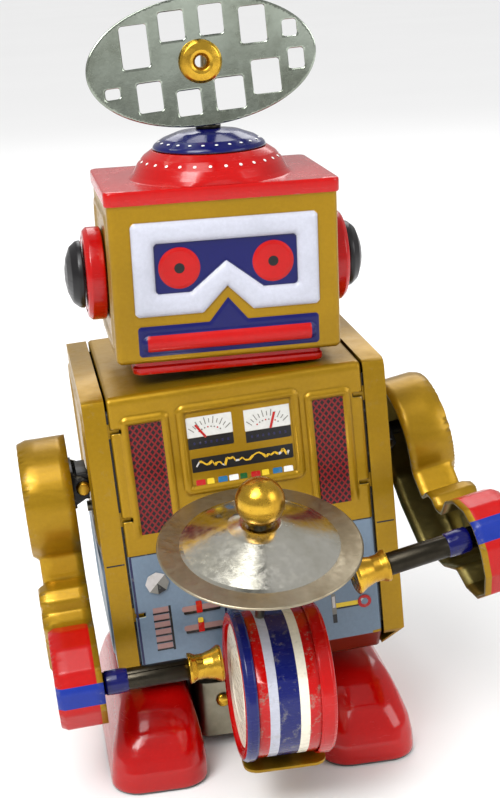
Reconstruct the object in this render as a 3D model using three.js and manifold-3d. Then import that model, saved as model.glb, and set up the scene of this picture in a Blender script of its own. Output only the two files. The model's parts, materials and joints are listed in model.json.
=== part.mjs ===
import * as THREE from 'three';
import { mergeVertices } from 'three/addons/utils/BufferGeometryUtils.js';
import Module from 'manifold-3d';

// Wind-up tin drumming robot. Millimetres, +Z up, the front faces -Y, the floor is z = 0.

const wasm = await Module();
wasm.setup();

const GAP = 0.3;
const SHEET = 0.8;

// Stand: pedestal, shoes and the drum they carry.
const PED_HALF = 15.6;
const PED_FRONT = -24;
const PED_BACK = 22;
const PED_LOW = 3.8;
const PED_TOP = 20.5;
const SHOE_IN = 16;
const SHOE_OUT = 42.5;
const SHOE_TOP_IN = 19.3;
const SHOE_TOP_OUT = 37;
const SHOE_TOE = -43.5;
const SHOE_HEEL = 24;
const SHOE_HIGH = 21.6;
const STAND_X = -2.6;
const DRUM_X = 1.2;
const DRUM_Y = -56;
const DRUM_Z = 36.3;
const DRUM_R = 19.5;
const DRUM_HALF = 11.7;
const CYM_X = -2.8;
const CYM_Y = -61;
const CYM_Z = 76.7;
const CYM_R = 25.6;
const CYM_TILT = 13;
const CYM_RISE = 7;
const BALL_AT = 13.1;
const BALL_R = 6.1;

// Torso: rocks on the waist pin.
const WAIST_Z = 24;
const TORSO_LEAN = -3.4;
const BODY_HALF = 40;
const WRAP_HALF = 33.6;
const FLANGE_IN = 34.2;
const BODY_DEPTH = 31;
const BODY_TOP = 110.5;
const BODY_LOW = 31.8;
const LIP_LOW = 25.4;
const LIP_IN = 4.6;

// Head: rocks back on the neck pin, so that it stays level.
const NECK_Z = 114;
const HEAD_HALF = 29.5;
const HEAD_FRONT = -28.6;
const HEAD_BACK = 13.8;
const HEAD_LOW = 116.4;
const HEAD_HIGH = 42.4;
const POST_Y = -8.7;
const DISH_X = -1.5;
const DISH_Z = 190.1;
const DISH_ROLL = -4;
const DISH_A = 29.5;
const DISH_B = 16.3;

// Arms: shoulder block turns about X, arm swings on a rivet along Y.
const SHOULDER_Y = -6;
const SHOULDER_Z = 80.9;
const RIVET_X = 42;
const ARM_IN = 45;
const ARM_OUT = 58.3;
const HAND_Y = -40;
const HAND_Z = -42;
const STICK_R = 2.6;
const STICK_START = 46.2;
const STICK_END = 22.8;
const TIP_END = 13.5;
const RIGHT_RAISE = 34.8;
const RIGHT_SWING = 8;

// Clockwork, all arbors along Y.
const PLATE_F = 3;
const PLATE_R = 24;
const PLATE_T = 0.9;
const MODULE = 1;
const TEETH_GREAT = 36;
const TEETH_PINION = 12;
const TEETH_SECOND = 30;
const TEETH_THIRD = 24;
const GREAT_X = 0;
const GREAT_Z = 52;
const ANGLE_2 = 55;
const ANGLE_3 = 130.97;
const ANGLE_4 = 35;
const ROD_Z = 72.9;

const RAD = Math.PI / 180;

function finish(color, rough, metal) {
  return new THREE.MeshStandardMaterial({ color, roughness: rough, metalness: metal, side: THREE.DoubleSide });
}
const PAINT = {
  gold: finish(0xa8871f, 0.35, 0.6),
  red: finish(0xc4140f, 0.25, 0.1),
  blue: finish(0x14246e, 0.3, 0.1),
  black: finish(0x17171a, 0.4, 0.2),
  steel: finish(0x8d8f88, 0.35, 0.9),
  dark: finish(0x3d3b36, 0.4, 0.8),
  nickel: finish(0xb9b6a8, 0.3, 0.95),
  brass: finish(0xc39a2e, 0.3, 0.95),
  white: finish(0xe6e6ea, 0.3, 0.1),
};

function toManifold(geometry) {
  const g = geometry.clone();
  g.deleteAttribute('normal');
  g.deleteAttribute('uv');
  const merged = mergeVertices(g, 1e-5);
  return new wasm.Manifold(new wasm.Mesh({
    numProp: 3,
    vertProperties: new Float32Array(merged.attributes.position.array),
    triVerts: new Uint32Array(merged.index.array),
  }));
}

function toGeometry(solid) {
  const m = solid.getMesh();
  const g = new THREE.BufferGeometry();
  const pos = new Float32Array(m.vertProperties.length / m.numProp * 3);
  for (let i = 0; i < pos.length / 3; i += 1) {
    for (let k = 0; k < 3; k += 1) {
      pos[3 * i + k] = m.vertProperties[m.numProp * i + k];
    }
  }
  g.setAttribute('position', new THREE.BufferAttribute(pos, 3));
  g.setIndex(new THREE.BufferAttribute(new Uint32Array(m.triVerts), 1));
  g.computeVertexNormals();
  return g;
}

// Outline helpers: lists of [u, v] pairs.
function circle(cu, cv, r, n = 20) {
  const pts = [];
  for (let i = 0; i < n; i += 1) {
    const a = 2 * Math.PI * i / n;
    pts.push([cu + r * Math.cos(a), cv + r * Math.sin(a)]);
  }
  return pts;
}

function rect(u0, v0, u1, v1, r = 0, n = 3) {
  if (r <= 0) {
    return [[u0, v0], [u1, v0], [u1, v1], [u0, v1]];
  }
  const pts = [];
  const corners = [[u1 - r, v0 + r, -90], [u1 - r, v1 - r, 0], [u0 + r, v1 - r, 90], [u0 + r, v0 + r, 180]];
  for (const [cu, cv, start] of corners) {
    for (let i = 0; i <= n; i += 1) {
      const a = (start + 90 * i / n) * RAD;
      pts.push([cu + r * Math.cos(a), cv + r * Math.sin(a)]);
    }
  }
  return pts;
}

function extrude(pts, holes, depth) {
  const shape = new THREE.Shape(pts.map(([u, v]) => new THREE.Vector2(u, v)));
  for (const h of holes) {
    shape.holes.push(new THREE.Path(h.map(([u, v]) => new THREE.Vector2(u, v))));
  }
  return new THREE.ExtrudeGeometry(shape, { depth, bevelEnabled: false, steps: 1 });
}

// Prisms with the outline in one plane, running between two values of the third axis.
function alongZ(pts, z0, z1, holes = []) {
  const g = extrude(pts, holes, z1 - z0);
  g.translate(0, 0, z0);
  return toManifold(g);
}

function alongY(pts, y0, y1, holes = []) {
  const g = extrude(pts, holes, y1 - y0);
  g.rotateX(Math.PI / 2);
  g.translate(0, y1, 0);
  return toManifold(g);
}

function alongX(pts, x0, x1, holes = []) {
  const g = extrude(pts, holes, x1 - x0);
  const turn = new THREE.Matrix4().makeBasis(
    new THREE.Vector3(0, 1, 0), new THREE.Vector3(0, 0, 1), new THREE.Vector3(1, 0, 0));
  g.applyMatrix4(turn);
  g.translate(x0, 0, 0);
  return toManifold(g);
}

function join(list) {
  return list.reduce((a, b) => a.add(b));
}

// A turned part about +Z from a profile of [radius, height] pairs that starts and ends on the axis.
function turned(profile, n = 28, at = [0, 0, 0]) {
  const g = new THREE.LatheGeometry(profile.map(([r, h]) => new THREE.Vector2(r, h)), n);
  g.rotateX(Math.PI / 2);
  g.translate(at[0], at[1], at[2]);
  return toManifold(g);
}

const root = new THREE.Group();
root.name = 'drumming_robot';

// Mirrored copy of a geometry across the YZ plane, with its faces still pointing out.
function mirrored(geometry) {
  const g = geometry.clone();
  g.scale(-1, 1, 1);
  const idx = g.index.array;
  for (let i = 0; i < idx.length; i += 3) {
    const keep = idx[i];
    idx[i] = idx[i + 1];
    idx[i + 1] = keep;
  }
  g.computeVertexNormals();
  return g;
}

function put(parent, name, solid, paint, side = 1) {
  const shape = toGeometry(solid);
  const mesh = new THREE.Mesh(side < 0 ? mirrored(shape) : shape, paint);
  mesh.name = name;
  parent.add(mesh);
  return mesh;
}

// ---------------------------------------------------------------- stand
function buildStand(group) {
  const outer = join([
    alongZ(rect(-PED_HALF, PED_FRONT, PED_HALF, PED_BACK, 2), PED_LOW, PED_TOP),
  ]);
  const inner = alongZ(rect(-PED_HALF + SHEET, PED_FRONT + SHEET, PED_HALF - SHEET, PED_BACK - SHEET, 1.4),
    PED_LOW - 1, PED_TOP - SHEET);
  let ped = outer.subtract(inner);
  for (const y of [-17.6, 16.4]) {
    const ear = alongY([[-4.6, PED_TOP - 0.5], [4.6, PED_TOP - 0.5], [3.4, 25.4], [1.8, 27], [-1.8, 27],
      [-3.4, 25.4]].map(([u, v]) => [u - STAND_X, v]), y, y + 1.2);
    ped = ped.add(ear);
  }
  ped = ped.subtract(alongY(circle(-STAND_X, WAIST_Z, 1.5, 14), -19, 19));
  for (const x of [-9, 9]) {
    ped = ped.subtract(alongY(circle(x, 15, 1.3, 12), PED_FRONT - 1, PED_FRONT + 2));
  }
  put(group, 'pedestal', ped, PAINT.steel);

  for (const [name, x, z] of [['pedestal_rivet_left', -9, 15], ['pedestal_rivet_right', 9, 15]]) {
    const rivet = turned([[0, -2.2], [0.95, -2.2], [0.95, 0.3], [2.1, 0.3], [1.8, 1], [0.9, 1.4], [0, 1.5]], 14);
    const m = put(group, name, rivet, PAINT.brass);
    m.rotation.x = Math.PI / 2;
    m.position.set(x, PED_FRONT, z);
  }

  const pin = turned([[0, 0], [0.9, 0], [1.2, 0.4], [1.2, 43.6], [0.9, 44], [0, 44]], 12);
  const pinMesh = put(group, 'waist_pin', pin, PAINT.steel);
  pinMesh.rotation.x = Math.PI / 2;
  pinMesh.position.set(-STAND_X, 22, WAIST_Z);

  // Boot shells: side outline crossed with a tapering front outline, hollow and open below.
  const side = (d) => [[SHOE_TOE + d, d], [SHOE_TOE - 0.7 + d, 2 + d * 0.2], [SHOE_TOE - 0.6 + d, 6],
    [SHOE_TOE + 1 + d, 11], [SHOE_TOE + 4 + d, 15.5 - d * 0.7], [SHOE_TOE + 8.5 + d, 19 - d],
    [SHOE_TOE + 14, SHOE_HIGH - d], [SHOE_HEEL - 5, SHOE_HIGH - d], [SHOE_HEEL - 2 - d, SHOE_HIGH - 2.5 - d],
    [SHOE_HEEL - d, 12], [SHOE_HEEL - d, d]];
  const front = (d) => [[SHOE_IN + d, -1], [SHOE_OUT - d, -1], [SHOE_OUT - d, 6], [SHOE_OUT - 1.6 - d, 13],
    [SHOE_TOP_OUT + 1.6 - d, SHOE_HIGH - 3.2], [SHOE_TOP_OUT - 1 - d, SHOE_HIGH - d],
    [SHOE_TOP_IN + 1 + d, SHOE_HIGH - d], [SHOE_TOP_IN + d, SHOE_HIGH - 3], [SHOE_IN + 0.6 + d, 10]];
  const plan = (d) => rect(SHOE_IN + d, SHOE_TOE - 1 + d, SHOE_OUT - d, SHOE_HEEL - d, 7 - d, 5);
  const boot = (d) => {
    const f = front(d);
    const s = side(d);
    const sx = alongX(s, SHOE_IN - 1, SHOE_OUT + 1);
    return sx.intersect(alongY(f, SHOE_TOE - 3, SHOE_HEEL + 3)).intersect(alongZ(plan(d), -2, SHOE_HIGH + 2));
  };
  for (const s of [-1, 1]) {
    const shoe = boot(0).subtract(boot(SHEET)).subtract(
      alongZ(rect(SHOE_IN + 5, SHOE_TOE + 8, SHOE_OUT - 5, SHOE_HEEL - 8, 3), -1, 2));
    put(group, s < 0 ? 'left_shoe' : 'right_shoe', shoe, PAINT.red, s);
  }

  // Drum bracket: rounded pad under the drum, neck back to the pedestal, tab riveted to its front.
  const padTop = DRUM_Z - DRUM_R - GAP - 0.5;
  const padLow = padTop - SHEET;
  const pad = alongZ(rect(DRUM_X - 10.8, DRUM_Y - 8.6, DRUM_X + 10.8, DRUM_Y + 1.4, 3.6, 5), padLow, padTop);
  const neck = alongZ(rect(-5, DRUM_Y, 5, PED_FRONT - GAP), padLow, padTop);
  const tab = alongY(rect(-5, 7.5, 5, padTop, 1.5), PED_FRONT - GAP - SHEET, PED_FRONT - GAP);
  put(group, 'drum_bracket', join([pad, neck, tab]), PAINT.gold);

  // Drum: open-ended hoop with a pressed head at each side.
  let hoop = alongX(circle(DRUM_Y, DRUM_Z, DRUM_R - 0.9, 36), DRUM_X - DRUM_HALF + 2.4, DRUM_X + DRUM_HALF - 3.4,
    [circle(DRUM_Y, DRUM_Z, DRUM_R - 1.7, 36)]);
  const tilt = CYM_TILT * RAD;
  const lean = new THREE.Matrix4().makeRotationX(tilt).setPosition(CYM_X, CYM_Y, CYM_Z);
  const drill = new THREE.CylinderGeometry(1.7, 1.7, 12, 12);
  drill.rotateX(Math.PI / 2);
  drill.translate(0, 0, -19);
  drill.applyMatrix4(lean);
  hoop = hoop.subtract(toManifold(drill));
  put(group, 'drum_shell', hoop, PAINT.red);
  const headLathe = (rim) => [[0, 0], [DRUM_R - 3.2, 0], [DRUM_R - 2.7, 0.8], [DRUM_R - 0.8, 0.6],
    [DRUM_R, -0.5], [DRUM_R, -rim], [DRUM_R - 0.45, -rim], [DRUM_R - 0.6, -0.9],
    [DRUM_R - 2.4, -0.7], [0, -0.7]];
  for (const s of [-1, 1]) {
    const rim = s < 0 ? 2.2 : 3.2;
    const lid = turned(headLathe(rim).reverse(), 32);
    const m = put(group, s < 0 ? 'drum_head_left' : 'drum_head_right', lid, PAINT.red);
    m.rotation.y = s * Math.PI / 2;
    m.position.set(DRUM_X + s * (DRUM_HALF - 0.9), DRUM_Y, DRUM_Z);
  }

  // Cymbal on its leaning post, kept on by the brass ball.
  const perch = new THREE.Group();
  perch.name = 'cymbal_perch';
  perch.position.set(CYM_X, CYM_Y, CYM_Z);
  perch.rotation.x = tilt;
  group.add(perch);
  put(perch, 'cymbal_post', turned([[0, -23.4], [1.25, -23.4], [1.25, CYM_RISE - 2.9], [3.1, CYM_RISE - 2.9],
    [3.1, CYM_RISE - 1.7], [1.25, CYM_RISE - 1.7], [1.25, BALL_AT - 2.7], [0, BALL_AT - 2.7]], 18), PAINT.steel);
  const cym = turned([[0, CYM_RISE], [5.2, CYM_RISE], [8, CYM_RISE - 1], [19.3, 0.7], [CYM_R, 0.3], [CYM_R, -0.25],
    [19.2, 0.1], [7.8, CYM_RISE - 1.6], [5.1, CYM_RISE - 0.6], [0, CYM_RISE - 0.6]].reverse(), 36)
    .subtract(alongZ(circle(0, 0, 1.7, 16), 3, 9));
  put(perch, 'cymbal', cym, PAINT.nickel);
  const sphere = new THREE.SphereGeometry(BALL_R, 16, 10);
  sphere.rotateX(Math.PI / 2);
  sphere.translate(0, 0, BALL_AT);
  const ball = toManifold(sphere).intersect(alongZ(circle(0, 0, 8, 24), CYM_RISE + 0.3, 25))
    .subtract(alongZ(circle(0, 0, 1.6, 14), 3, BALL_AT - 2.3));
  put(perch, 'cymbal_knob', ball, PAINT.brass);
}

// ---------------------------------------------------------------- torso case
function frameRing(x0, z0, x1, z1, band, y0, y1) {
  return alongY(rect(x0, z0, x1, z1, 1.2, 2), y0, y1, [rect(x0 + band, z0 + band, x1 - band, z1 - band, 0.6, 2)]);
}

function buildCase(group) {
  const D = BODY_DEPTH;
  const loop = (d) => [[-D + LIP_IN + d * 0.3, LIP_LOW], [-D + d, BODY_LOW], [-D + d, BODY_TOP - 2],
    [-D + 0.6 + d * 0.8, BODY_TOP - 0.6 - d * 0.7], [-D + 2 + d * 0.2, BODY_TOP - d],
    [D - 2 - d * 0.2, BODY_TOP - d], [D - 0.6 - d * 0.8, BODY_TOP - 0.6 - d * 0.7], [D - d, BODY_TOP - 2],
    [D - d, BODY_LOW], [D - LIP_IN - d * 0.3, LIP_LOW]];
  const outerPts = loop(0);
  const innerPts = loop(SHEET);
  innerPts[0] = [-D + LIP_IN + SHEET, LIP_LOW - 1];
  innerPts[innerPts.length - 1] = [D - LIP_IN - SHEET, LIP_LOW - 1];
  let wrap = alongX(outerPts, -WRAP_HALF, WRAP_HALF).subtract(alongX(innerPts, -WRAP_HALF - 1, WRAP_HALF + 1));
  const yFace = -D;
  const raised = [
    frameRing(-30, 70.8, -19.2, 105.4, 1.1, yFace - 0.7, yFace + 0.4),
    frameRing(19.2, 70.8, 30, 105.4, 1.1, yFace - 0.7, yFace + 0.4),
    frameRing(-15.6, 81.6, 15.6, 105, 1.1, yFace - 0.7, yFace + 0.4),
    alongY(circle(-26.7, 57.8, 3.3, 12), yFace - 1, yFace + 0.4),
  ];
  wrap = join([wrap, ...raised]);
  for (const s of [-1, 1]) {
    for (const z of [101.5, 76.8, 49]) {
      wrap = wrap.subtract(alongY(rect(s < 0 ? -33 : 30.8, z - 0.75, s < 0 ? -30.8 : 33, z + 0.75), -D - 1, -D + 1));
    }
  }
  wrap = wrap.subtract(alongZ(rect(-7, POST_Y - 5, 7, 9), BODY_TOP - 2, BODY_TOP + 1));
  wrap = wrap.subtract(alongY(circle(GREAT_X, GREAT_Z, 3.2, 18), D - 2, D + 1));
  put(group, 'body_wrap', wrap, PAINT.gold);

  // Side pans: face, flanges round the edge and tabs tucked behind the front panel.
  for (const s of [-1, 1]) {
    const out = [[FLANGE_IN, BODY_TOP], [BODY_HALF, BODY_TOP], [BODY_HALF, BODY_LOW], [FLANGE_IN, LIP_LOW + 0.6]];
    const inn = [[FLANGE_IN - 2, BODY_TOP - SHEET], [BODY_HALF - SHEET, BODY_TOP - SHEET],
      [BODY_HALF - SHEET, BODY_LOW + 0.35], [FLANGE_IN - 2, LIP_LOW - 0.35]];
    let pan = alongY(out, -D, D).subtract(alongY(inn, -D + SHEET, D - SHEET)).intersect(alongX(outerPts, 30, 42));
    for (const z of [101.5, 76.8, 49]) {
      pan = pan.add(alongY(rect(31.2, z - 2, 36, z + 2), -D + SHEET + GAP, -D + SHEET + GAP + 0.7));
      pan = pan.add(alongY(rect(34.6, z - 2, 36, z + 2), -D + 0.4, -D + SHEET + GAP + 0.7));
    }
    pan = pan.subtract(alongX(circle(SHOULDER_Y, SHOULDER_Z, 3.1, 20), BODY_HALF - 3, BODY_HALF + 2));
    pan = pan.subtract(alongX(circle(SHOULDER_Y, ROD_Z, 2.1, 14), BODY_HALF - 3, BODY_HALF + 2));
    put(group, s < 0 ? 'left_side_cover' : 'right_side_cover', pan, PAINT.gold, s);
  }

  // Bottom plate with the two waist lugs, slotted for the pedestal ears.
  let floor = alongZ(rect(-WRAP_HALF + 0.4, -25.2, WRAP_HALF - 0.4, 25.2), 25.4, 26.2);
  for (const y of [-17, 17]) {
    floor = floor.subtract(alongZ(rect(-7.5, y - 1.6, 7.5, y + 1.6), 25, 27));
  }
  for (const y of [-20.6, 19.4]) {
    floor = floor.add(alongY([[-4.5, 25.9], [-4, 23], [-1.8, 21.5], [1.8, 21.5], [4, 23], [4.5, 25.9]], y, y + 1.2));
  }
  floor = floor.subtract(alongY(circle(0, WAIST_Z, 1.5, 14), -23, 23));
  put(group, 'bottom_plate', floor, PAINT.steel);

  // Neck hinge: saddle on the top of the case with two ears.
  let saddle = alongZ(rect(-9, -16.6, 9, 8.4), BODY_TOP + GAP, BODY_TOP + GAP + 0.8, [rect(-5.6, POST_Y - 3, 5.6, 5)]);
  for (const y of [-16.6, 7.4]) {
    saddle = saddle.add(alongY([[-4, BODY_TOP + 0.6], [4, BODY_TOP + 0.6], [2.4, 115.4], [-2.4, 115.4]], y, y + 1));
  }
  saddle = saddle.add(alongY(circle(0, NECK_Z, 0.7, 8), -17.2, 9));
  put(group, 'neck_saddle', saddle, PAINT.steel);
}

// ---------------------------------------------------------------- clockwork
function gear(teeth, y0, y1, bore, phase) {
  const r = teeth * MODULE / 2;
  const top = r + 0.8 * MODULE;
  const low = r - 1.15 * MODULE;
  const step = 2 * Math.PI / teeth;
  const pts = [];
  for (let i = 0; i < teeth; i += 1) {
    const a = phase + i * step;
    for (const [rad, off] of [[low, -0.27], [top, -0.1], [top, 0.1], [low, 0.27]]) {
      pts.push([rad * Math.cos(a + off * step), rad * Math.sin(a + off * step)]);
    }
  }
  return alongY(pts, y0, y1, [circle(0, 0, bore, 12)]);
}

function arbor(parent, name, r, y0, y1, x, z, extra = []) {
  const parts = [alongY(circle(0, 0, r, 12), y0, y1), ...extra];
  const m = put(parent, name, join(parts), PAINT.steel);
  m.position.set(x, 0, z);
  return m;
}

function buildClockwork(group) {
  const c1 = [GREAT_X, GREAT_Z];
  const polar = (c, d, a) => [c[0] + d * Math.cos(a * RAD), c[1] + d * Math.sin(a * RAD)];
  const c2 = polar(c1, MODULE * (TEETH_GREAT + TEETH_PINION) / 2, ANGLE_2);
  const c3 = polar(c2, MODULE * (TEETH_SECOND + TEETH_PINION) / 2, ANGLE_3);
  const c4 = polar(c3, MODULE * (TEETH_THIRD + TEETH_PINION) / 2, ANGLE_4);
  const centres = [c1, c2, c3, c4];
  const outline = rect(-22, 34, 22, 104, 2, 2);
  const pillars = [[19, 38], [-19, 100]];
  const bores = centres.map(([x, z], i) => circle(x, z, i === 0 ? 1.9 : 1.3, 12));
  const ends = pillars.map(([x, z]) => circle(x, z, 0.9, 8));
  put(group, 'front_plate', alongY(outline, PLATE_F, PLATE_F + PLATE_T, [...bores, ...ends]), PAINT.steel);
  put(group, 'rear_plate', alongY(outline, PLATE_R, PLATE_R + PLATE_T, [...bores, ...ends]), PAINT.steel);
  pillars.forEach(([x, z], i) => {
    const pillar = alongY(circle(x, z, 1.7, 10), PLATE_F + PLATE_T + GAP, PLATE_R - GAP);
    put(group, `pillar_${i + 1}`, pillar, PAINT.steel);
  });

  // Mainspring: flat spiral strip round the winding arbor.
  const turns = 4.5;
  const n = 60;
  const outside = [];
  const inside = [];
  for (let i = 0; i <= n; i += 1) {
    const f = i / n;
    const a = 2 * Math.PI * turns * f;
    const r = 2.9 + 11.6 * f;
    outside.push([c1[0] + (r + 0.3) * Math.cos(a), c1[1] + (r + 0.3) * Math.sin(a)]);
    inside.push([c1[0] + (r - 0.3) * Math.cos(a), c1[1] + (r - 0.3) * Math.sin(a)]);
  }
  put(group, 'mainspring', alongY([...outside, ...inside.reverse()], 5.5, 13.5), PAINT.dark);

  // Winding arbor, ratchet and key.
  arbor(group, 'winding_arbor', 1.5, PLATE_F - 1.5, 40, c1[0], c1[1]);
  const saw = [];
  for (let i = 0; i < 12; i += 1) {
    const a = 30 * i * RAD;
    saw.push([6.4 * Math.cos(a), 6.4 * Math.sin(a)]);
    saw.push([5 * Math.cos(a + 3 * RAD), 5 * Math.sin(a + 3 * RAD)]);
  }
  const ratchet = put(group, 'ratchet_wheel', alongY(saw, 20.1, 21.4, [circle(0, 0, 1.8, 12)]), PAINT.steel);
  ratchet.position.set(c1[0], 0, c1[1]);
  const sleeve = alongY(circle(0, 0, 2.6, 14), 33, 42).subtract(alongY(circle(0, 0, 1.8, 14), 32, 40.4));
  const wing = alongZ([[-3, 40.9], [3, 40.9], [8, 42], [13, 45], [14.4, 49], [12, 53], [7.6, 54], [3.4, 52], [0, 49.6],
    [-3.4, 52], [-7.6, 54], [-12, 53], [-14.4, 49], [-13, 45], [-8, 42]], -0.7, 0.7,
  [circle(-8.4, 48.2, 3, 14), circle(8.4, 48.2, 3, 14)]);
  const key = put(group, 'winding_key', sleeve.add(wing), PAINT.steel);
  key.position.set(c1[0], 0, c1[1]);

  // Train: great wheel, second, third and governor.
  const great = put(group, 'great_wheel', gear(TEETH_GREAT, 18, 19.6, 1.9, 0), PAINT.brass);
  great.position.set(c1[0], 0, c1[1]);
  const click = alongY([[-8.6, 9.4], [-4.6, 8.6], [-3.2, 6.9], [-4.6, 6.4], [-9.4, 7.2]], 19.9, 21);
  const clickMesh = put(group, 'ratchet_click', click, PAINT.dark);
  clickMesh.position.set(c1[0], 0, c1[1]);

  const phaseOf = (teethA, phaseA, dir, teethB) => {
    // Phase that puts a gap of B opposite the tooth nearest the line of centres of A.
    const stepA = 2 * Math.PI / teethA;
    const stepB = 2 * Math.PI / teethB;
    const off = ((dir - phaseA) / stepA) % 1;
    return dir + Math.PI + (off + 0.5) * stepB;
  };
  const ph2 = phaseOf(TEETH_GREAT, 0, ANGLE_2 * RAD, TEETH_PINION);
  const ph3 = phaseOf(TEETH_SECOND, 0, ANGLE_3 * RAD, TEETH_PINION);
  const ph4 = phaseOf(TEETH_THIRD, 0, ANGLE_4 * RAD, TEETH_PINION);
  const spin = (name, c, wheelTeeth, y0, pinY, ph, r, y1, y2) => {
    const pinion = gear(TEETH_PINION, pinY - 0.1, pinY + 1.7, 0.5, ph).add(alongY(circle(0, 0, r, 12), y1, y2));
    const a = put(group, `${name}_arbor`, pinion, PAINT.steel);
    a.position.set(c[0], 0, c[1]);
    if (wheelTeeth > 0) {
      const w = put(group, `${name}_wheel`, gear(wheelTeeth, y0, y0 + 1.4, r + GAP, 0), PAINT.brass);
      w.position.set(c[0], 0, c[1]);
    }
  };
  spin('second', c2, TEETH_SECOND, 15, 18, ph2, 1, 0.2, 25.6);
  spin('third', c3, TEETH_THIRD, 11.5, 15, ph3, 1, -1.9, 25.6);
  const fly = alongY([[-5.6, -1.6], [-2.2, -2], [0, -2.4], [2.2, -2], [5.6, -1.6], [5.6, 1.6], [2.2, 2], [0, 2.4],
    [-2.2, 2], [-5.6, 1.6]], 6, 8.4);
  const governor = join([gear(TEETH_PINION, 11.4, 13.2, 0.5, ph4), alongY(circle(0, 0, 1, 12), 2.2, 25.6), fly]);
  put(group, 'governor', governor, PAINT.brass).position.set(c4[0], 0, c4[1]);

  // Crank disc with its pin, ahead of the front plate, and the push rod that works both arms.
  const crank = alongY(circle(0, 0, 6.4, 24), -1.2, 0).add(alongY(circle(0, 4, 1, 10), -3.6, -1));
  put(group, 'crank_disc', crank, PAINT.brass).position.set(c2[0], 0, c2[1]);
  const rod = alongX(circle(SHOULDER_Y, ROD_Z, 1.5, 12), -41.5, 41.5)
    .subtract(alongZ(rect(c2[0] - 1.4, -9, c2[0] + 1.4, -3), 60, 90));
  const yoke = alongY(rect(c2[0] - 4.6, 67, c2[0] + 4.6, 82.4, 1.5, 2), -6.8, -5.2,
    [rect(c2[0] - 1.4, 69, c2[0] + 1.4, 80.6, 0.6, 2)]);
  put(group, 'push_rod', rod.add(yoke), PAINT.steel);

  // Friction drive to the upright shaft of the antenna.
  put(group, 'friction_disc', alongY(circle(0, 0, 12, 32), -3.4, -2.2), PAINT.steel).position.set(c3[0], 0, c3[1]);
  const shaft = turned([[0, 90.4], [1.2, 90.4], [1.2, 92.8], [5, 92.8], [5, 97.2], [1.2, 97.2], [1.2, 112.4],
    [0, 112.4]], 18);
  put(group, 'drive_shaft', shaft, PAINT.steel).position.set(0, POST_Y, 0);
  return { c1, c2, c3, c4 };
}

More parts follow.
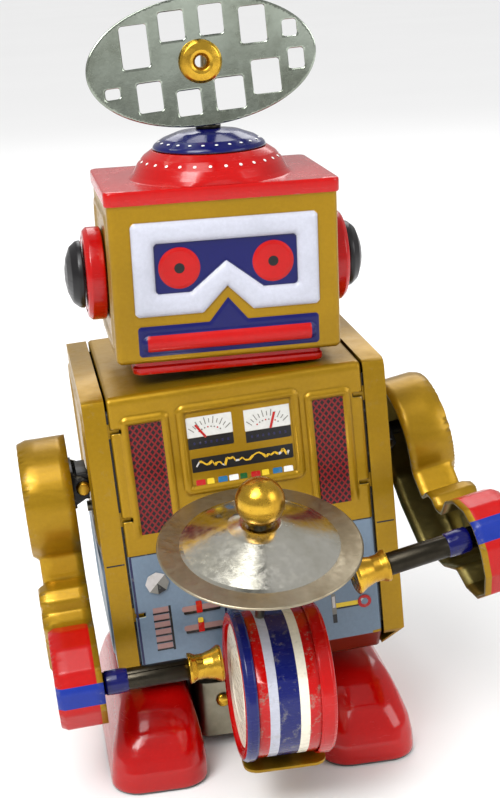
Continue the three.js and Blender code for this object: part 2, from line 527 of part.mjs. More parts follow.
// ---------------------------------------------------------------- head
function buildHead(group) {
  const T = HEAD_LOW + HEAD_HIGH;
  let shell = alongZ(rect(-HEAD_HALF, HEAD_FRONT, HEAD_HALF, HEAD_BACK, 1.6, 3), HEAD_LOW, T)
    .subtract(alongZ(rect(-HEAD_HALF + SHEET, HEAD_FRONT + SHEET, HEAD_HALF - SHEET, HEAD_BACK - SHEET, 1, 3),
      HEAD_LOW + SHEET, T + 1));
  shell = shell.subtract(alongZ(rect(-6, POST_Y - 4, 6, 4), HEAD_LOW - 1, HEAD_LOW + 2));
  const up = (pts) => pts.map(([x, z]) => [x, HEAD_LOW + z]);
  const visor = up([[-24, 14], [-22.3, 12.3], [-6.6, 12.3], [0, 18.9], [6.6, 12.3], [22.3, 12.3], [24, 14],
    [24, 34.8], [22.3, 36.5], [-22.3, 36.5], [-24, 34.8]]);
  const glass = up([[-18.4, 18.6], [-17.6, 18], [-9.4, 18], [0, 25.5], [9.4, 18], [17.6, 18], [18.4, 18.6],
    [18.4, 30.4], [17.6, 31], [-17.6, 31], [-18.4, 30.4]]);
  const F = HEAD_FRONT;
  shell = shell.add(alongY(visor, F - 1.1, F + 0.3, [glass]));
  for (const s of [-1, 1]) {
    shell = shell.add(alongY(circle(s * 12.1, HEAD_LOW + 24.4, 4.6, 20), F - 0.5, F + 0.3));
  }
  shell = shell.add(alongY(up(rect(-21.5, 3.3, 21.5, 7.5, 1, 2)), F - 0.9, F + 0.3));
  put(group, 'head_shell', shell, PAINT.gold);

  // Red cap with the stepped dome pressing; blue dome on top.
  const rim = alongZ(rect(-HEAD_HALF - 0.9, F - 0.9, HEAD_HALF + 0.9, HEAD_BACK + 0.9, 2.2, 3), T - 1.4, T + 2.2)
    .subtract(alongZ(rect(-HEAD_HALF - GAP, F - GAP, HEAD_HALF + GAP, HEAD_BACK + GAP, 1.6, 3), T - 2, T + 1.2));
  const lift = [0, POST_Y, T];
  const step = turned([[0, 1.4], [20.8, 1.4], [20.3, 3.6], [19.1, 5.8], [17.4, 7.8], [15.1, 9.2], [0, 9.2]], 26, lift);
  const hollow = turned([[0, 0.4], [19.9, 0.4], [19.4, 3.2], [18.2, 5.3], [16.7, 7], [14.5, 8.4], [0, 8.4]], 26, lift);
  const cap = rim.add(step).subtract(hollow)
    .subtract(alongZ(circle(0, POST_Y, 2.6, 16), T + 5, T + 12));
  put(group, 'head_cap', cap, PAINT.red);
  const dome = turned([[0, 9.5], [14.9, 9.5], [14.6, 10.6], [12, 12.2], [8, 13.6], [3, 14.2], [0, 14.2]], 26)
    .subtract(turned([[0, 9], [14.1, 9], [13.8, 10], [11.6, 11.4], [7.6, 12.8], [0, 13.4]], 26))
    .subtract(alongZ(circle(0, 0, 1.6, 14), 5, 20));
  put(group, 'head_dome', dome, PAINT.blue).position.set(0, POST_Y, T);

  const collar = alongZ(rect(-25.2, F + 2.6, 25.2, HEAD_BACK - 2.6, 2, 3), 112.5, HEAD_LOW - GAP,
    [rect(-23.8, F + 4, 23.8, HEAD_BACK - 4, 1.4, 3)]);
  put(group, 'neck_collar', collar, PAINT.red);

  const earY = (F + HEAD_BACK) / 2;
  const earZ = HEAD_LOW + 20.2;
  for (const s of [-1, 1]) {
    const side = s < 0 ? 'left' : 'right';
    const block = turned([[0, 0], [12.3, 0], [12.3, 3.9], [11.4, 4.9], [10.6, 5.2], [0, 5.2]], 24)
      .subtract(turned([[0, -1], [11, -1], [11, 3.6], [10.3, 4.4], [0, 4.4]], 24));
    const b = put(group, `${side}_ear_block`, block, PAINT.red);
    b.rotation.y = s * Math.PI / 2;
    b.position.set(s * (HEAD_HALF + GAP), earY, earZ);
    const cup = turned([[0, 0], [9, 0], [8.7, 1.6], [7.1, 3.2], [4.5, 4.2], [1.9, 4.7], [0, 4.8]], 20);
    const d = put(group, `${side}_ear_dome`, cup, PAINT.black);
    d.rotation.y = s * Math.PI / 2;
    d.position.set(s * (HEAD_HALF + 2 * GAP + 5.2), earY, earZ);
  }
}

const DISH_HOLES = [[-19.9, 0.3, -12.7, 11], [-9.6, 5.9, -3, 13.2], [0.8, 6.3, 7, 13.8], [11, 3, 17.7, 12.2],
  [21.6, 3.6, 25.2, 7.8], [-25.4, -6.5, -21.4, -3.8], [-17.2, -11, -10.7, -3.6], [-7.1, -13.2, -0.9, -6.8],
  [3, -12.9, 10.5, -4.8], [12.8, -10, 20, -1.4], [22.4, -4.6, 26.4, 0.5]];

function buildAntenna(group) {
  const post = turned([[0, 115.4], [1.2, 115.4], [1.2, DISH_Z + 3.5], [0, DISH_Z + 3.5]], 16);
  put(group, 'antenna_post', post, PAINT.steel).position.set(0, POST_Y, 0);
  const oval = [];
  const count = 36;
  for (let i = 0; i < count; i += 1) {
    const a = 2 * Math.PI * i / count;
    oval.push([DISH_A * Math.cos(a), DISH_B * Math.sin(a)]);
  }
  const holes = [circle(0, 0, 2.6, 14)];
  const slots = DISH_HOLES.map(([u0, v0, u1, v1]) => rect(u0, v0, u1, v1, 0.8, 2));
  let dish = alongY(oval, -0.3, 0.3);
  for (const cut of [...holes, ...slots]) {
    dish = dish.subtract(alongY(cut, -1, 1));
  }
  const dishMesh = put(group, 'antenna_dish', dish, PAINT.nickel);
  dishMesh.position.set(DISH_X, POST_Y - 2, DISH_Z);
  // The plate is dished: its ends come forward of the hub.
  const bend = dishMesh.geometry.attributes.position;
  for (let i = 0; i < bend.count; i += 1) {
    const x = bend.getX(i);
    const z = bend.getZ(i);
    bend.setY(i, bend.getY(i) - 0.0042 * x * x - 0.003 * z * z);
  }
  dishMesh.geometry.computeVertexNormals();
  dishMesh.rotation.y = DISH_ROLL * Math.PI / 180;
  const hub = turned([[0, -0.6], [2.2, -0.6], [2.2, 0.7], [5.2, 0.7], [5.5, 1.2], [4.6, 2.1], [2.8, 2.6], [0, 2.6]], 20)
    .subtract(alongZ(circle(0, 0, 1.5, 12), -2, 4));
  const hubMesh = put(group, 'antenna_hub', hub.subtract(turned([[0, 1.6], [1.6, 1.6], [2.9, 3], [0, 3]], 20)),
    PAINT.brass);
  hubMesh.rotation.x = Math.PI / 2;
  hubMesh.position.set(DISH_X, POST_Y - 2, DISH_Z);
}

// ---------------------------------------------------------------- arms
// Outline moved inwards by d along the bisector at each corner.
function shrink(pts, d) {
  const area = pts.reduce((sum, p, i) => {
    const q = pts[(i + 1) % pts.length];
    return sum + p[0] * q[1] - q[0] * p[1];
  }, 0);
  const turn = area > 0 ? 1 : -1;
  const normal = (a, b) => {
    const len = Math.hypot(b[0] - a[0], b[1] - a[1]);
    return [-turn * (b[1] - a[1]) / len, turn * (b[0] - a[0]) / len];
  };
  return pts.map((p, i) => {
    const before = normal(pts[(i + pts.length - 1) % pts.length], p);
    const after = normal(p, pts[(i + 1) % pts.length]);
    const sum = [before[0] + after[0], before[1] + after[1]];
    const k = 2 * d / Math.max(0.8, sum[0] * sum[0] + sum[1] * sum[1]);
    return [p[0] + k * sum[0], p[1] + k * sum[1]];
  });
}

function buildArm(torso, s, raise, swing) {
  const side = s < 0 ? 'left' : 'right';
  const shoulder = new THREE.Group();
  shoulder.name = `${side}_shoulder`;
  shoulder.position.set(0, SHOULDER_Y, SHOULDER_Z);
  shoulder.rotation.x = -raise * RAD;
  torso.add(shoulder);
  const block = alongX(rect(-5.8, -4, 5.8, 4, 1, 2), BODY_HALF + 0.5, 43.4)
    .add(alongX(circle(0, 0, 2.7, 18), BODY_HALF - 4, BODY_HALF + 1))
    .subtract(alongY(circle(RIVET_X, 0, 1.2, 12), -8, 8));
  put(shoulder, `${side}_shoulder_block`, block, PAINT.black, s);

  const arm = new THREE.Group();
  arm.name = `${side}_arm`;
  arm.position.set(s * RIVET_X, 0, 0);
  arm.rotation.y = -s * swing * RAD;
  shoulder.add(arm);
  const hang = new THREE.Group();
  hang.name = `${side}_arm_frame`;
  hang.position.set(-s * RIVET_X, 0, 0);
  arm.add(hang);

  const rivet = turned([[0, 0], [1.9, 0], [1.9, 0.8], [0.9, 0.8], [0.9, 14.8], [2.1, 14.8], [1.7, 15.8], [0, 16.1]], 14);
  const rivetMesh = put(hang, `${side}_arm_rivet`, rivet, PAINT.brass);
  rivetMesh.rotation.x = Math.PI / 2;
  rivetMesh.position.set(s * RIVET_X, 7.6, 0);

  // Black fork: plate inside the shoulder with two ears on the rivet.
  let fork = alongX(rect(-6.8, -6, 6.8, 5, 1, 2), 44.3, 45.1);
  for (const y of [-6.8, 6]) {
    fork = fork.add(alongY([[40.6, -2.6], [42, -3.4], [45, -5], [45, 4.4], [42, 3], [40.6, 2]], y, y + 0.8));
  }
  fork = fork.subtract(alongY(circle(RIVET_X, 0, 1.2, 12), -8, 8));
  fork = fork.add(alongX(circle(0, 0, 2, 12), 45, 56.8));
  put(hang, `${side}_arm_fork`, fork, PAINT.black, s);

  // Pressed shell: shoulder disc, upper arm, cuff and fist, open on the inner side.
  const disc = circle(-1.5, -3, 16.5, 28);
  const upper = [[-11.4, -8], [-12, -24], [-8, -35], [2, -38], [9, -34], [12.4, -20], [12, -8]];
  const cuff = [[-12.6, -23.6], [-17.4, -23.6], [-20, -26], [-20.6, -29], [-23.6, -31], [-24.6, -33.4],
    [-21, -47], [-8, -43], [0, -37.4], [-4, -30]];
  const fist = [[-22.8, -31.4], [-31, -29.8], [-38, -31.4], [-43.4, -35.4], [-45.6, -40.6], [-45, -47],
    [-41, -53], [-34.8, -56.6], [-27.6, -56], [-21, -51.6], [-18, -45]];
  const layers = [[disc, ARM_OUT], [upper, ARM_OUT - 1.6], [cuff, ARM_OUT], [fist, ARM_OUT - 1]];
  const solid = join(layers.map(([pts, x]) => alongX(pts, ARM_IN, x)));
  const cavity = join(layers.map(([pts, x]) => alongX(shrink(pts, SHEET), ARM_IN - 1, x - SHEET)));
  const links = join([alongX(circle(-9, -30, 4.4, 14), ARM_IN - 1, ARM_OUT - 1.6 - SHEET),
    alongX(circle(-22, -39, 4.8, 14), ARM_IN - 1, ARM_OUT - 1.8),
    alongX(circle(0, -15, 7, 14), ARM_IN - 1, ARM_OUT - 1.6 - SHEET)]);
  let shell = solid.subtract(cavity).subtract(links);
  shell = shell.subtract(alongX(circle(0, 0, 2.3, 12), ARM_IN, ARM_OUT - 2));
  put(hang, `${side}_arm_shell`, shell, PAINT.gold, s);

  // Drumstick: rolled tube with a turned brass tip.
  const stick = new THREE.Group();
  stick.name = `${side}_stick_line`;
  stick.position.set(0, HAND_Y, HAND_Z);
  hang.add(stick);
  const tube = alongX(circle(0, 0, STICK_R, 16), STICK_END, 56, [circle(0, 0, STICK_R - 0.7, 16)]);
  put(stick, `${side}_stick`, tube, PAINT.dark, s);
  const spool = turned([[0, 0], [4.85, 0], [4.85, 0.8], [3.9, 2.6], [3.3, 5], [3.4, 7], [4.1, 8.2], [4.1, 9], [0, 9]], 18)
    .add(turned([[0, 8.5], [1.55, 8.5], [1.55, 15], [0, 15]], 12));
  const tip = put(stick, `${side}_stick_tip`, spool, PAINT.brass);
  tip.rotation.y = s * Math.PI / 2;
  tip.position.set(s * TIP_END, 0, 0);
}

// ---------------------------------------------------------------- assembly
const stand = new THREE.Group();
stand.name = 'stand';
stand.position.x = STAND_X;
root.add(stand);
buildStand(stand);

const torsoPivot = new THREE.Group();
torsoPivot.name = 'torso_pivot';
torsoPivot.position.set(0, 0, WAIST_Z);
torsoPivot.rotation.y = TORSO_LEAN * RAD;
root.add(torsoPivot);
const torso = new THREE.Group();
torso.name = 'torso';
torso.position.set(0, 0, -WAIST_Z);
torsoPivot.add(torso);
buildCase(torso);
buildClockwork(torso);

const headPivot = new THREE.Group();
headPivot.name = 'head_pivot';
headPivot.position.set(0, 0, NECK_Z);
headPivot.rotation.y = -TORSO_LEAN * RAD;
torso.add(headPivot);
const head = new THREE.Group();
head.name = 'head';
head.position.set(0, 0, -NECK_Z);
headPivot.add(head);
buildHead(head);
buildAntenna(head);

buildArm(torso, -1, 0, 0);
buildArm(torso, 1, RIGHT_RAISE, RIGHT_SWING);

// The origin is under the middle of the bounding box, on the floor.
root.updateMatrixWorld(true);
const bounds = new THREE.Box3().setFromObject(root, true);
const middle = bounds.getCenter(new THREE.Vector3());
for (const child of root.children) {
  child.position.x -= middle.x;
  child.position.y -= middle.y;
}
root.updateMatrixWorld(true);
export default root;
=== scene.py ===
import json
import math

import bmesh
import bpy
import numpy as np
from mathutils import Matrix, Vector

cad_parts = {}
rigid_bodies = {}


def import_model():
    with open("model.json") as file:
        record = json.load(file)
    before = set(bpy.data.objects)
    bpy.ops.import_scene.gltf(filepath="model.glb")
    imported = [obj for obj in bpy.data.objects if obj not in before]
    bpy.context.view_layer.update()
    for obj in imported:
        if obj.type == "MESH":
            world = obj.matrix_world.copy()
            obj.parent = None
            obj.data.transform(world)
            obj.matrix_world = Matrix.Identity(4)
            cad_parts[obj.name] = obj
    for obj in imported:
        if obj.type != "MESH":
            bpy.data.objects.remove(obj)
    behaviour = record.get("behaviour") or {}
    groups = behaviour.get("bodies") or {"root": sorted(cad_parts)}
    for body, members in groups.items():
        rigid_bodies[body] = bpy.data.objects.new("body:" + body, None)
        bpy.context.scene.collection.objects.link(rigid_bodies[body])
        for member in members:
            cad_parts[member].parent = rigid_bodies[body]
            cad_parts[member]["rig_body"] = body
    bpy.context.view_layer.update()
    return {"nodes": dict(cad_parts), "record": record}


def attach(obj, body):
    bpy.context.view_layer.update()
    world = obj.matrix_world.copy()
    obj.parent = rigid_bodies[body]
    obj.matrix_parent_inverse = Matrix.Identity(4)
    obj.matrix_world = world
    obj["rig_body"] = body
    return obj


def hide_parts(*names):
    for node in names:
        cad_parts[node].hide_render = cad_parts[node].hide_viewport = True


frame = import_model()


MM = 0.001
PI = math.pi

# ---- frames (millimetres to row metres)
JOINTS = {j["name"]: j for j in frame["record"]["behaviour"]["joints"]}


def pos_mm(joint):
    return np.array(JOINTS[joint]["pos_m"], float) * 1000


def shift(x, y, z):
    return Matrix.Translation((x, y, z))


def turn(axis, degrees):
    return Matrix.Rotation(math.radians(degrees), 4, axis)


WORD = {-1: "left", 1: "right"}
WAIST = pos_mm("torso_rock")
NECK = pos_mm("head_rock")
NECK_Z = 114
LEAN = math.degrees(math.atan2(NECK[0] - WAIST[0], NECK[2] - WAIST[2]))
SX, SY = WAIST[0], WAIST[1]
STAND_X = -2.6
STAND = shift(SX + STAND_X, SY, 0)
TORSO = shift(SX, SY, WAIST[2]) @ turn("Y", LEAN) @ shift(0, 0, -WAIST[2])
HEAD = shift(NECK[0], NECK[1], NECK[2]) @ shift(0, 0, -NECK_Z)
POST_Y = -8.7
FORK_X, SHOULDER_Y, SHOULDER_Z, ROD_Z = 42, -6, 80.9, 72.9
RIGHT_RAISE, RIGHT_SWING = 34.8, 8
HAND_Y, HAND_Z = -40, -42
SHOULDER = TORSO @ shift(0, SHOULDER_Y, SHOULDER_Z)
ARM = {
    -1: SHOULDER,
    1: (SHOULDER @ turn("X", -RIGHT_RAISE) @ shift(FORK_X, 0, 0) @ turn("Y", -RIGHT_SWING)
        @ shift(-FORK_X, 0, 0)),
}
CYM_X, CYM_Y, CYM_Z, CYM_TILT = -2.8, -61, 76.7, 13
CYMBAL = STAND @ shift(CYM_X, CYM_Y, CYM_Z) @ turn("X", CYM_TILT)

# ---- signed distances (negative inside)


def d_rect(u, v, u0, v0, u1, v1, r=0.0):
    a = np.abs(u - (u0 + u1) / 2) - ((u1 - u0) / 2 - r)
    b = np.abs(v - (v0 + v1) / 2) - ((v1 - v0) / 2 - r)
    out = np.hypot(np.maximum(a, 0), np.maximum(b, 0))
    return out + np.minimum(np.maximum(a, b), 0) - r


def d_circle(u, v, cu, cv, r):
    return np.hypot(u - cu, v - cv) - r


def d_line(u, v, u0, v0, u1, v1, r):
    du, dv = u1 - u0, v1 - v0
    t = np.clip(((u - u0) * du + (v - v0) * dv) / (du * du + dv * dv), 0, 1)
    return np.hypot(u - u0 - t * du, v - v0 - t * dv) - r


def d_poly(u, v, pts):
    best = np.full(np.shape(u), 1e9)
    inside = np.zeros(np.shape(u), bool)
    n = len(pts)
    for i in range(n):
        a, b = pts[i], pts[(i + 1) % n]
        best = np.minimum(best, d_line(u, v, a[0], a[1], b[0], b[1], 0))
        if a[1] != b[1]:
            cross = (a[1] > v) != (b[1] > v)
            at = a[0] + (v - a[1]) * (b[0] - a[0]) / (b[1] - a[1])
            inside ^= cross & (u < at)
    return np.where(inside, -best, best)


def union(*ds):
    out = ds[0]
    for d in ds[1:]:
        out = np.minimum(out, d)
    return out


def soft_union(a, b, k):
    h = np.clip(0.5 + 0.5 * (b - a) / k, 0, 1)
    return b + (a - b) * h - k * h * (1 - h)


def step(d, w):
    """1 inside, 0 outside, smooth over the distance w."""
    t = np.clip(0.5 - d / w, 0, 1)
    return t * t * (3 - 2 * t)


def bead(d, w):
    """Half-round ridge along the line where d is zero."""
    return np.sqrt(np.clip(1 - (d / w) ** 2, 0, 1))


def lines(lo, hi, gap, extra=()):
    """Grid coordinates from lo to hi, about gap apart, that pass through each extra value."""
    keep = sorted([lo, hi] + [e for e in extra if lo < e < hi])
    out = [lo]
    for a, b in zip(keep[:-1], keep[1:]):
        n = max(1, int(round((b - a) / gap)))
        out += [a + (b - a) * (i + 1) / n for i in range(n)]
    return np.array(out)


# ---- materials


def linear(r, g, b):
    def one(c):
        c /= 255
        return c / 12.92 if c <= 0.04045 else ((c + 0.055) / 1.055) ** 2.4
    return (one(r), one(g), one(b), 1.0)


class Mat:
    """A node material on the Principled shader, with small helpers to wire it."""

    def __init__(self, name):
        self.mat = bpy.data.materials.new(name)
        self.mat.use_nodes = True
        self.nt = self.mat.node_tree
        self.nt.nodes.clear()
        self.out = self.nt.nodes.new("ShaderNodeOutputMaterial")
        self.bsdf = self.nt.nodes.new("ShaderNodeBsdfPrincipled")
        self.link(self.bsdf.outputs[0], self.out.inputs[0])
        self.coord = self.nt.nodes.new("ShaderNodeTexCoord").outputs["Object"]

    def link(self, a, b):
        self.nt.links.new(a, b)

    def put(self, socket, value):
        if isinstance(value, (int, float, tuple, list)):
            socket.default_value = value
        else:
            self.link(value, socket)

    def node(self, kind, inputs=None, **settings):
        """A new node of a kind, with its settings made and its sockets filled or linked."""
        node = self.nt.nodes.new("ShaderNode" + kind)
        for key, value in settings.items():
            setattr(node, key, value)
        for key, value in (inputs or {}).items():
            self.put(node.inputs[key], value)
        return node

    def noise(self, scale, detail=3.0, rough=0.6, stretch=(1, 1, 1), seed=0.0):
        place = self.node("Mapping", {"Location": (seed, seed * 0.37, -seed), "Scale": stretch,
                                      "Vector": self.coord})
        return self.node("TexNoise", {"Vector": place.outputs[0], "Scale": scale, "Detail": detail,
                                      "Roughness": rough}, noise_dimensions="3D").outputs["Fac"]

    def remap(self, value, a, b, c=0.0, d=1.0):
        return self.node("MapRange", {"Value": value, "From Min": a, "From Max": b, "To Min": c, "To Max": d},
                         interpolation_type="SMOOTHSTEP").outputs["Result"]

    def math(self, op, a, b=0.0, clamp=False):
        return self.node("Math", {0: a, 1: b}, operation=op, use_clamp=clamp).outputs[0]

    def add(self, a, b, clamp=False):
        return self.math("ADD", a, b, clamp)

    def times(self, a, b):
        return self.math("MULTIPLY", a, b)

    def blend(self, a, b, mask):
        """A number that is a where the mask is 0 and b where it is 1."""
        return self.add(self.times(a, self.math("SUBTRACT", 1.0, mask)), self.times(mask, b))

    def mix(self, fac, a, b, blend="MIX"):
        """A colour that is a where fac is 0 and b where it is 1."""
        return self.node("Mix", {"Factor": fac, 6: a, 7: b}, data_type="RGBA", blend_type=blend).outputs[2]

    def attr(self, name, output="Fac"):
        return self.node("Attribute", attribute_name=name).outputs[output]

    def printed(self, name):
        """Mask of an ink: 1 where the named distance is negative, with a soft edge."""
        return self.remap(self.attr(name), -0.09, 0.09, 1.0, 0.0)

    def pointy(self):
        return self.node("NewGeometry").outputs["Pointiness"]

    def bump(self, height, distance):
        node = self.node("Bump", {"Strength": 0.5, "Distance": distance, "Height": height})
        self.link(node.outputs[0], self.bsdf.inputs["Normal"])

    def set(self, **values):
        for key, value in values.items():
            self.put(self.bsdf.inputs[key.replace("_", " ")], value)


MATS = {}


def tint(color, k):
    return (min(1, color[0] * k), min(1, color[1] * k), min(1, color[2] * k), 1.0)


GOLD = linear(154, 118, 14)
RED = linear(176, 4, 3)
BLUE = linear(5, 9, 82)
WHITE = linear(182, 184, 196)
PANEL = linear(108, 126, 144)
BLACK = linear(20, 18, 20)
# Near-black colour of the painted shade laid into hollows.
PAINTED_HOLLOW_SHADE = (0.012, 0.009, 0.006, 1.0)
GOLD_METAL = 0.55


def enamel(name, color, metal=0.0, rough=0.24, coat=0.5, layers=(), wear=0.5):
    """Lithographed tin: ink over the sheet, laid on where each named distance is negative.
    The base ink, then the layers in order, then painted shade in the hollows, then pinholes, scuffs and
    rubbed edges that show bare tin."""
    m = Mat(name)
    big = m.noise(38, 2, 0.5)
    fine = m.noise(900, 3, 0.7, seed=3.1)
    col, met = tuple(color), metal
    for attr, ink_color, ink_metal in layers:
        mask = m.printed(attr)
        col = m.mix(mask, col, ink_color)
        met = m.blend(met, ink_metal, mask)
    tone = m.times(m.remap(big, 0.3, 0.7, 0.90, 1.08), m.remap(fine, 0.3, 0.75, 0.95, 1.04))
    grey = m.node("CombineColor", {0: tone, 1: tone, 2: tone})
    col = m.mix(1.0, col, grey.outputs[0], "MULTIPLY")
    # Rubbed edges and pinholes down to the tin, and painted shade in the hollows.
    chips = m.noise(420, 4, 0.75, seed=8.3)
    rub = m.times(m.remap(m.pointy(), 0.53, 0.60), m.remap(chips, 0.55, 0.68, 0.0, wear))
    pin = m.remap(m.noise(300, 4, 0.7, seed=21.7), 0.755, 0.79, 0.0, 0.5 * wear)
    bare = m.add(rub, pin, clamp=True)
    # Painted shade: hollows (low pointiness) are darkened towards near-black.
    col = m.mix(m.remap(m.pointy(), 0.40, 0.492, 0.75, 0.0), col, PAINTED_HOLLOW_SHADE)
    col = m.mix(bare, col, linear(150, 146, 132))
    scuff = m.noise(160, 5, 0.7, stretch=(1, 1, 7), seed=5.0)
    m.set(Base_Color=col, Metallic=m.blend(met, 0.9, bare), Specular_IOR_Level=0.3,
          Roughness=m.add(m.remap(scuff, 0.35, 0.75, rough, rough + 0.16), m.times(bare, 0.15)),
          Coat_Weight=0.35 * coat, Coat_Roughness=0.08)
    ripple = m.add(m.noise(55, 2, 0.5, seed=11.0), m.times(fine, 0.06))
    m.bump(m.math("SUBTRACT", ripple, m.times(bare, 0.08)), 0.00035)
    MATS[name] = m.mat
    return m


def gold_enamel(name, layers=()):
    return enamel(name, GOLD, GOLD_METAL, 0.30, 0.25, layers)


def bare_metal(name, color, rough, tarnish, stretch=(1, 1, 1), grain=600, spread=0.14, aniso=0.0, patch=70):
    """Bare sheet or wire: brushed along its stretch, with cloudy tarnish and darker spots."""
    m = Mat(name)
    cloud = m.noise(patch, 4, 0.65, seed=2.0)
    brushed = m.noise(grain, 3, 0.6, stretch=stretch, seed=6.6)
    specks = m.noise(330, 5, 0.8, seed=14.0)
    col = m.mix(m.remap(cloud, 0.36, 0.72, 0.0, 0.55), color, tarnish)
    col = m.mix(m.remap(specks, 0.66, 0.76, 0.0, 0.65), col, tint(tarnish, 0.5))
    dull = m.remap(cloud, 0.35, 0.75, rough, rough + spread)
    m.set(Base_Color=col, Metallic=1.0, Anisotropic=aniso,
          Roughness=m.add(dull, m.remap(brushed, 0.3, 0.7, -0.05, 0.07)))
    m.bump(m.add(brushed, m.times(specks, 0.3)), 0.00005)
    MATS[name] = m.mat
    return m


gold_enamel("gold")
enamel("red", RED, 0.0, 0.16, 0.6, wear=0.5)
enamel("blue", BLUE, 0.0, 0.16, 0.6, wear=0.3)
enamel("white", WHITE, 0.0, 0.22, 0.6, wear=0.3)
enamel("black", BLACK, 0.0, 0.3, 0.4, wear=0.6)
bare_metal("tin_inside", linear(150, 138, 84), 0.34, linear(96, 82, 40), grain=500, stretch=(1, 1, 5))
bare_metal("steel", linear(150, 146, 128), 0.3, linear(98, 92, 70), grain=700, stretch=(6, 1, 1))
bare_metal("dark_steel", linear(58, 54, 46), 0.28, linear(26, 23, 18), grain=700, stretch=(1, 6, 6))
bare_metal("brass", linear(214, 170, 58), 0.2, linear(128, 84, 22), spread=0.16)
bare_metal("dish_nickel", linear(160, 168, 156), 0.14, linear(74, 76, 58), patch=55)
bare_metal("spring_steel", linear(92, 94, 104), 0.25, linear(52, 50, 54))

# ---- mesh helpers


def add_object(name, data):
    """A mesh, light or camera as an object of the scene."""
    o = bpy.data.objects.new(name, data)
    bpy.context.scene.collection.objects.link(o)
    return o


def shade(me, angle):
    """Smooth shading that breaks at edges sharper than the angle."""
    me.polygons.foreach_set("use_smooth", np.ones(len(me.polygons), bool))
    me.set_sharp_from_angle(angle=math.radians(angle))


def round_edges(o, width, segments, limit):
    b = o.modifiers.new("edges", "BEVEL")
    b.width = width * MM
    b.segments = segments
    b.limit_method = "ANGLE"
    b.angle_limit = math.radians(limit)
    return b


def make(name, verts, faces, mats, at, body, nodes=(), slot=None, face_mats=None, attrs=None, uvs=None,
         angle=38, thick=0.0, bevel=0.0, back=None):
    """A mesh piece from millimetre points in a frame, riding on a body and standing for CAD nodes."""
    v = np.asarray(verts, float)
    m = np.array(at)
    v = (v @ m[:3, :3].T + m[:3, 3]) * MM
    me = bpy.data.meshes.new(name)
    me.from_pydata(v.tolist(), [], [list(map(int, f)) for f in faces])
    mats = [mats] if isinstance(mats, str) else mats
    for key in mats:
        me.materials.append(MATS[key])
    if back:
        me.materials.append(MATS[back])
    if face_mats is not None:
        me.polygons.foreach_set("material_index", np.asarray(face_mats, np.int32))
    for key, values in (attrs or {}).items():
        a = me.attributes.new(key, "FLOAT", "POINT")
        a.data.foreach_set("value", np.clip(np.asarray(values, np.float32).ravel(), -4, 4))
    if uvs is not None:
        layer = me.uv_layers.new(name="uv")
        loops = np.zeros(len(me.loops), np.int32)
        me.loops.foreach_get("vertex_index", loops)
        layer.data.foreach_set("uv", np.asarray(uvs, np.float32)[loops].ravel())
    me.update()
    shade(me, angle)
    o = add_object(name, me)
    if thick:
        s = o.modifiers.new("sheet", "SOLIDIFY")
        s.thickness = abs(thick) * MM
        s.offset = -1 if thick > 0 else 1
        s.use_even_offset = False
        if back:
            s.material_offset = len(mats)
            s.material_offset_rim = len(mats)
    if bevel:
        round_edges(o, bevel, 2, 40)
    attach(o, body)
    if nodes:
        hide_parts(*nodes)
    return o


def grid_faces(rows, cols, closed=False, keep=None):
    faces = []
    last = cols if closed else cols - 1
    for i in range(rows - 1):
        for j in range(last):
            if keep is not None and not keep[i][j]:
                continue
            a, b = i * cols + j, i * cols + (j + 1) % cols
            faces.append((a, b, b + cols, a + cols))
    return faces


def lathe(name, profile, mats, at, body, n=64, seg_mats=None, **kw):
    """Turned piece about local +Z from [radius, height] points, closed at the axis where the radius is 0."""
    verts, faces, fm, rings = [], [], [], []
    for r, h in profile:
        if r < 1e-6:
            rings.append([len(verts)] * n)
            verts.append((0, 0, h))
        else:
            rings.append(list(range(len(verts), len(verts) + n)))
            for i in range(n):
                a = 2 * PI * i / n
                verts.append((r * math.cos(a), r * math.sin(a), h))
    for k in range(len(profile) - 1):
        for i in range(n):
            j = (i + 1) % n
            f = [rings[k][i], rings[k][j], rings[k + 1][j], rings[k + 1][i]]
            f = list(dict.fromkeys(f))
            if len(f) > 2:
                faces.append(f)
                fm.append(seg_mats[k] if seg_mats else 0)
    return make(name, verts, faces, mats, at, body, face_mats=fm, **kw)


def rounded(points, radius, n=4, closed=False):
    """Polyline with its corners rounded; radius is one number or one per point."""
    out = []
    count = len(points)
    for i, p in enumerate(points):
        r = radius[i] if isinstance(radius, (list, tuple)) else radius
        if (not closed and i in (0, count - 1)) or r <= 0:
            out.append(tuple(p))
            continue
        p = np.array(p, float)
        a = np.array(points[i - 1], float) - p
        b = np.array(points[(i + 1) % count], float) - p
        la, lb = np.linalg.norm(a), np.linalg.norm(b)
        a, b = a / la, b / lb
        half = math.acos(max(-1, min(1, float(a @ b)))) / 2
        if abs(half - PI / 2) < 0.03:
            out.append(tuple(p))
            continue
        cut = min(r / math.tan(half), la * 0.49, lb * 0.49)
        p0, p1 = p + a * cut, p + b * cut
        for k in range(n + 1):
            t = k / n
            q = (1 - t) ** 2 * p0 + 2 * t * (1 - t) * p + t * t * p1
            out.append(tuple(q))
    return out


def anticlockwise(outline):
    after = list(outline[1:]) + [outline[0]]
    area = sum(p[0] * q[1] - q[0] * p[1] for p, q in zip(outline, after))
    return list(outline) if area > 0 else list(outline)[::-1]


def in_plane(axis, u, v, w):
    """The point w along an axis: axis x takes (y, z), y takes (x, z), z takes (x, y)."""
    return {"x": (w, u, v), "y": (u, w, v), "z": (u, v, w)}[axis]


def bar(u0, v0, u1, v1):
    return [(u0, v0), (u1, v0), (u1, v1), (u0, v1)]


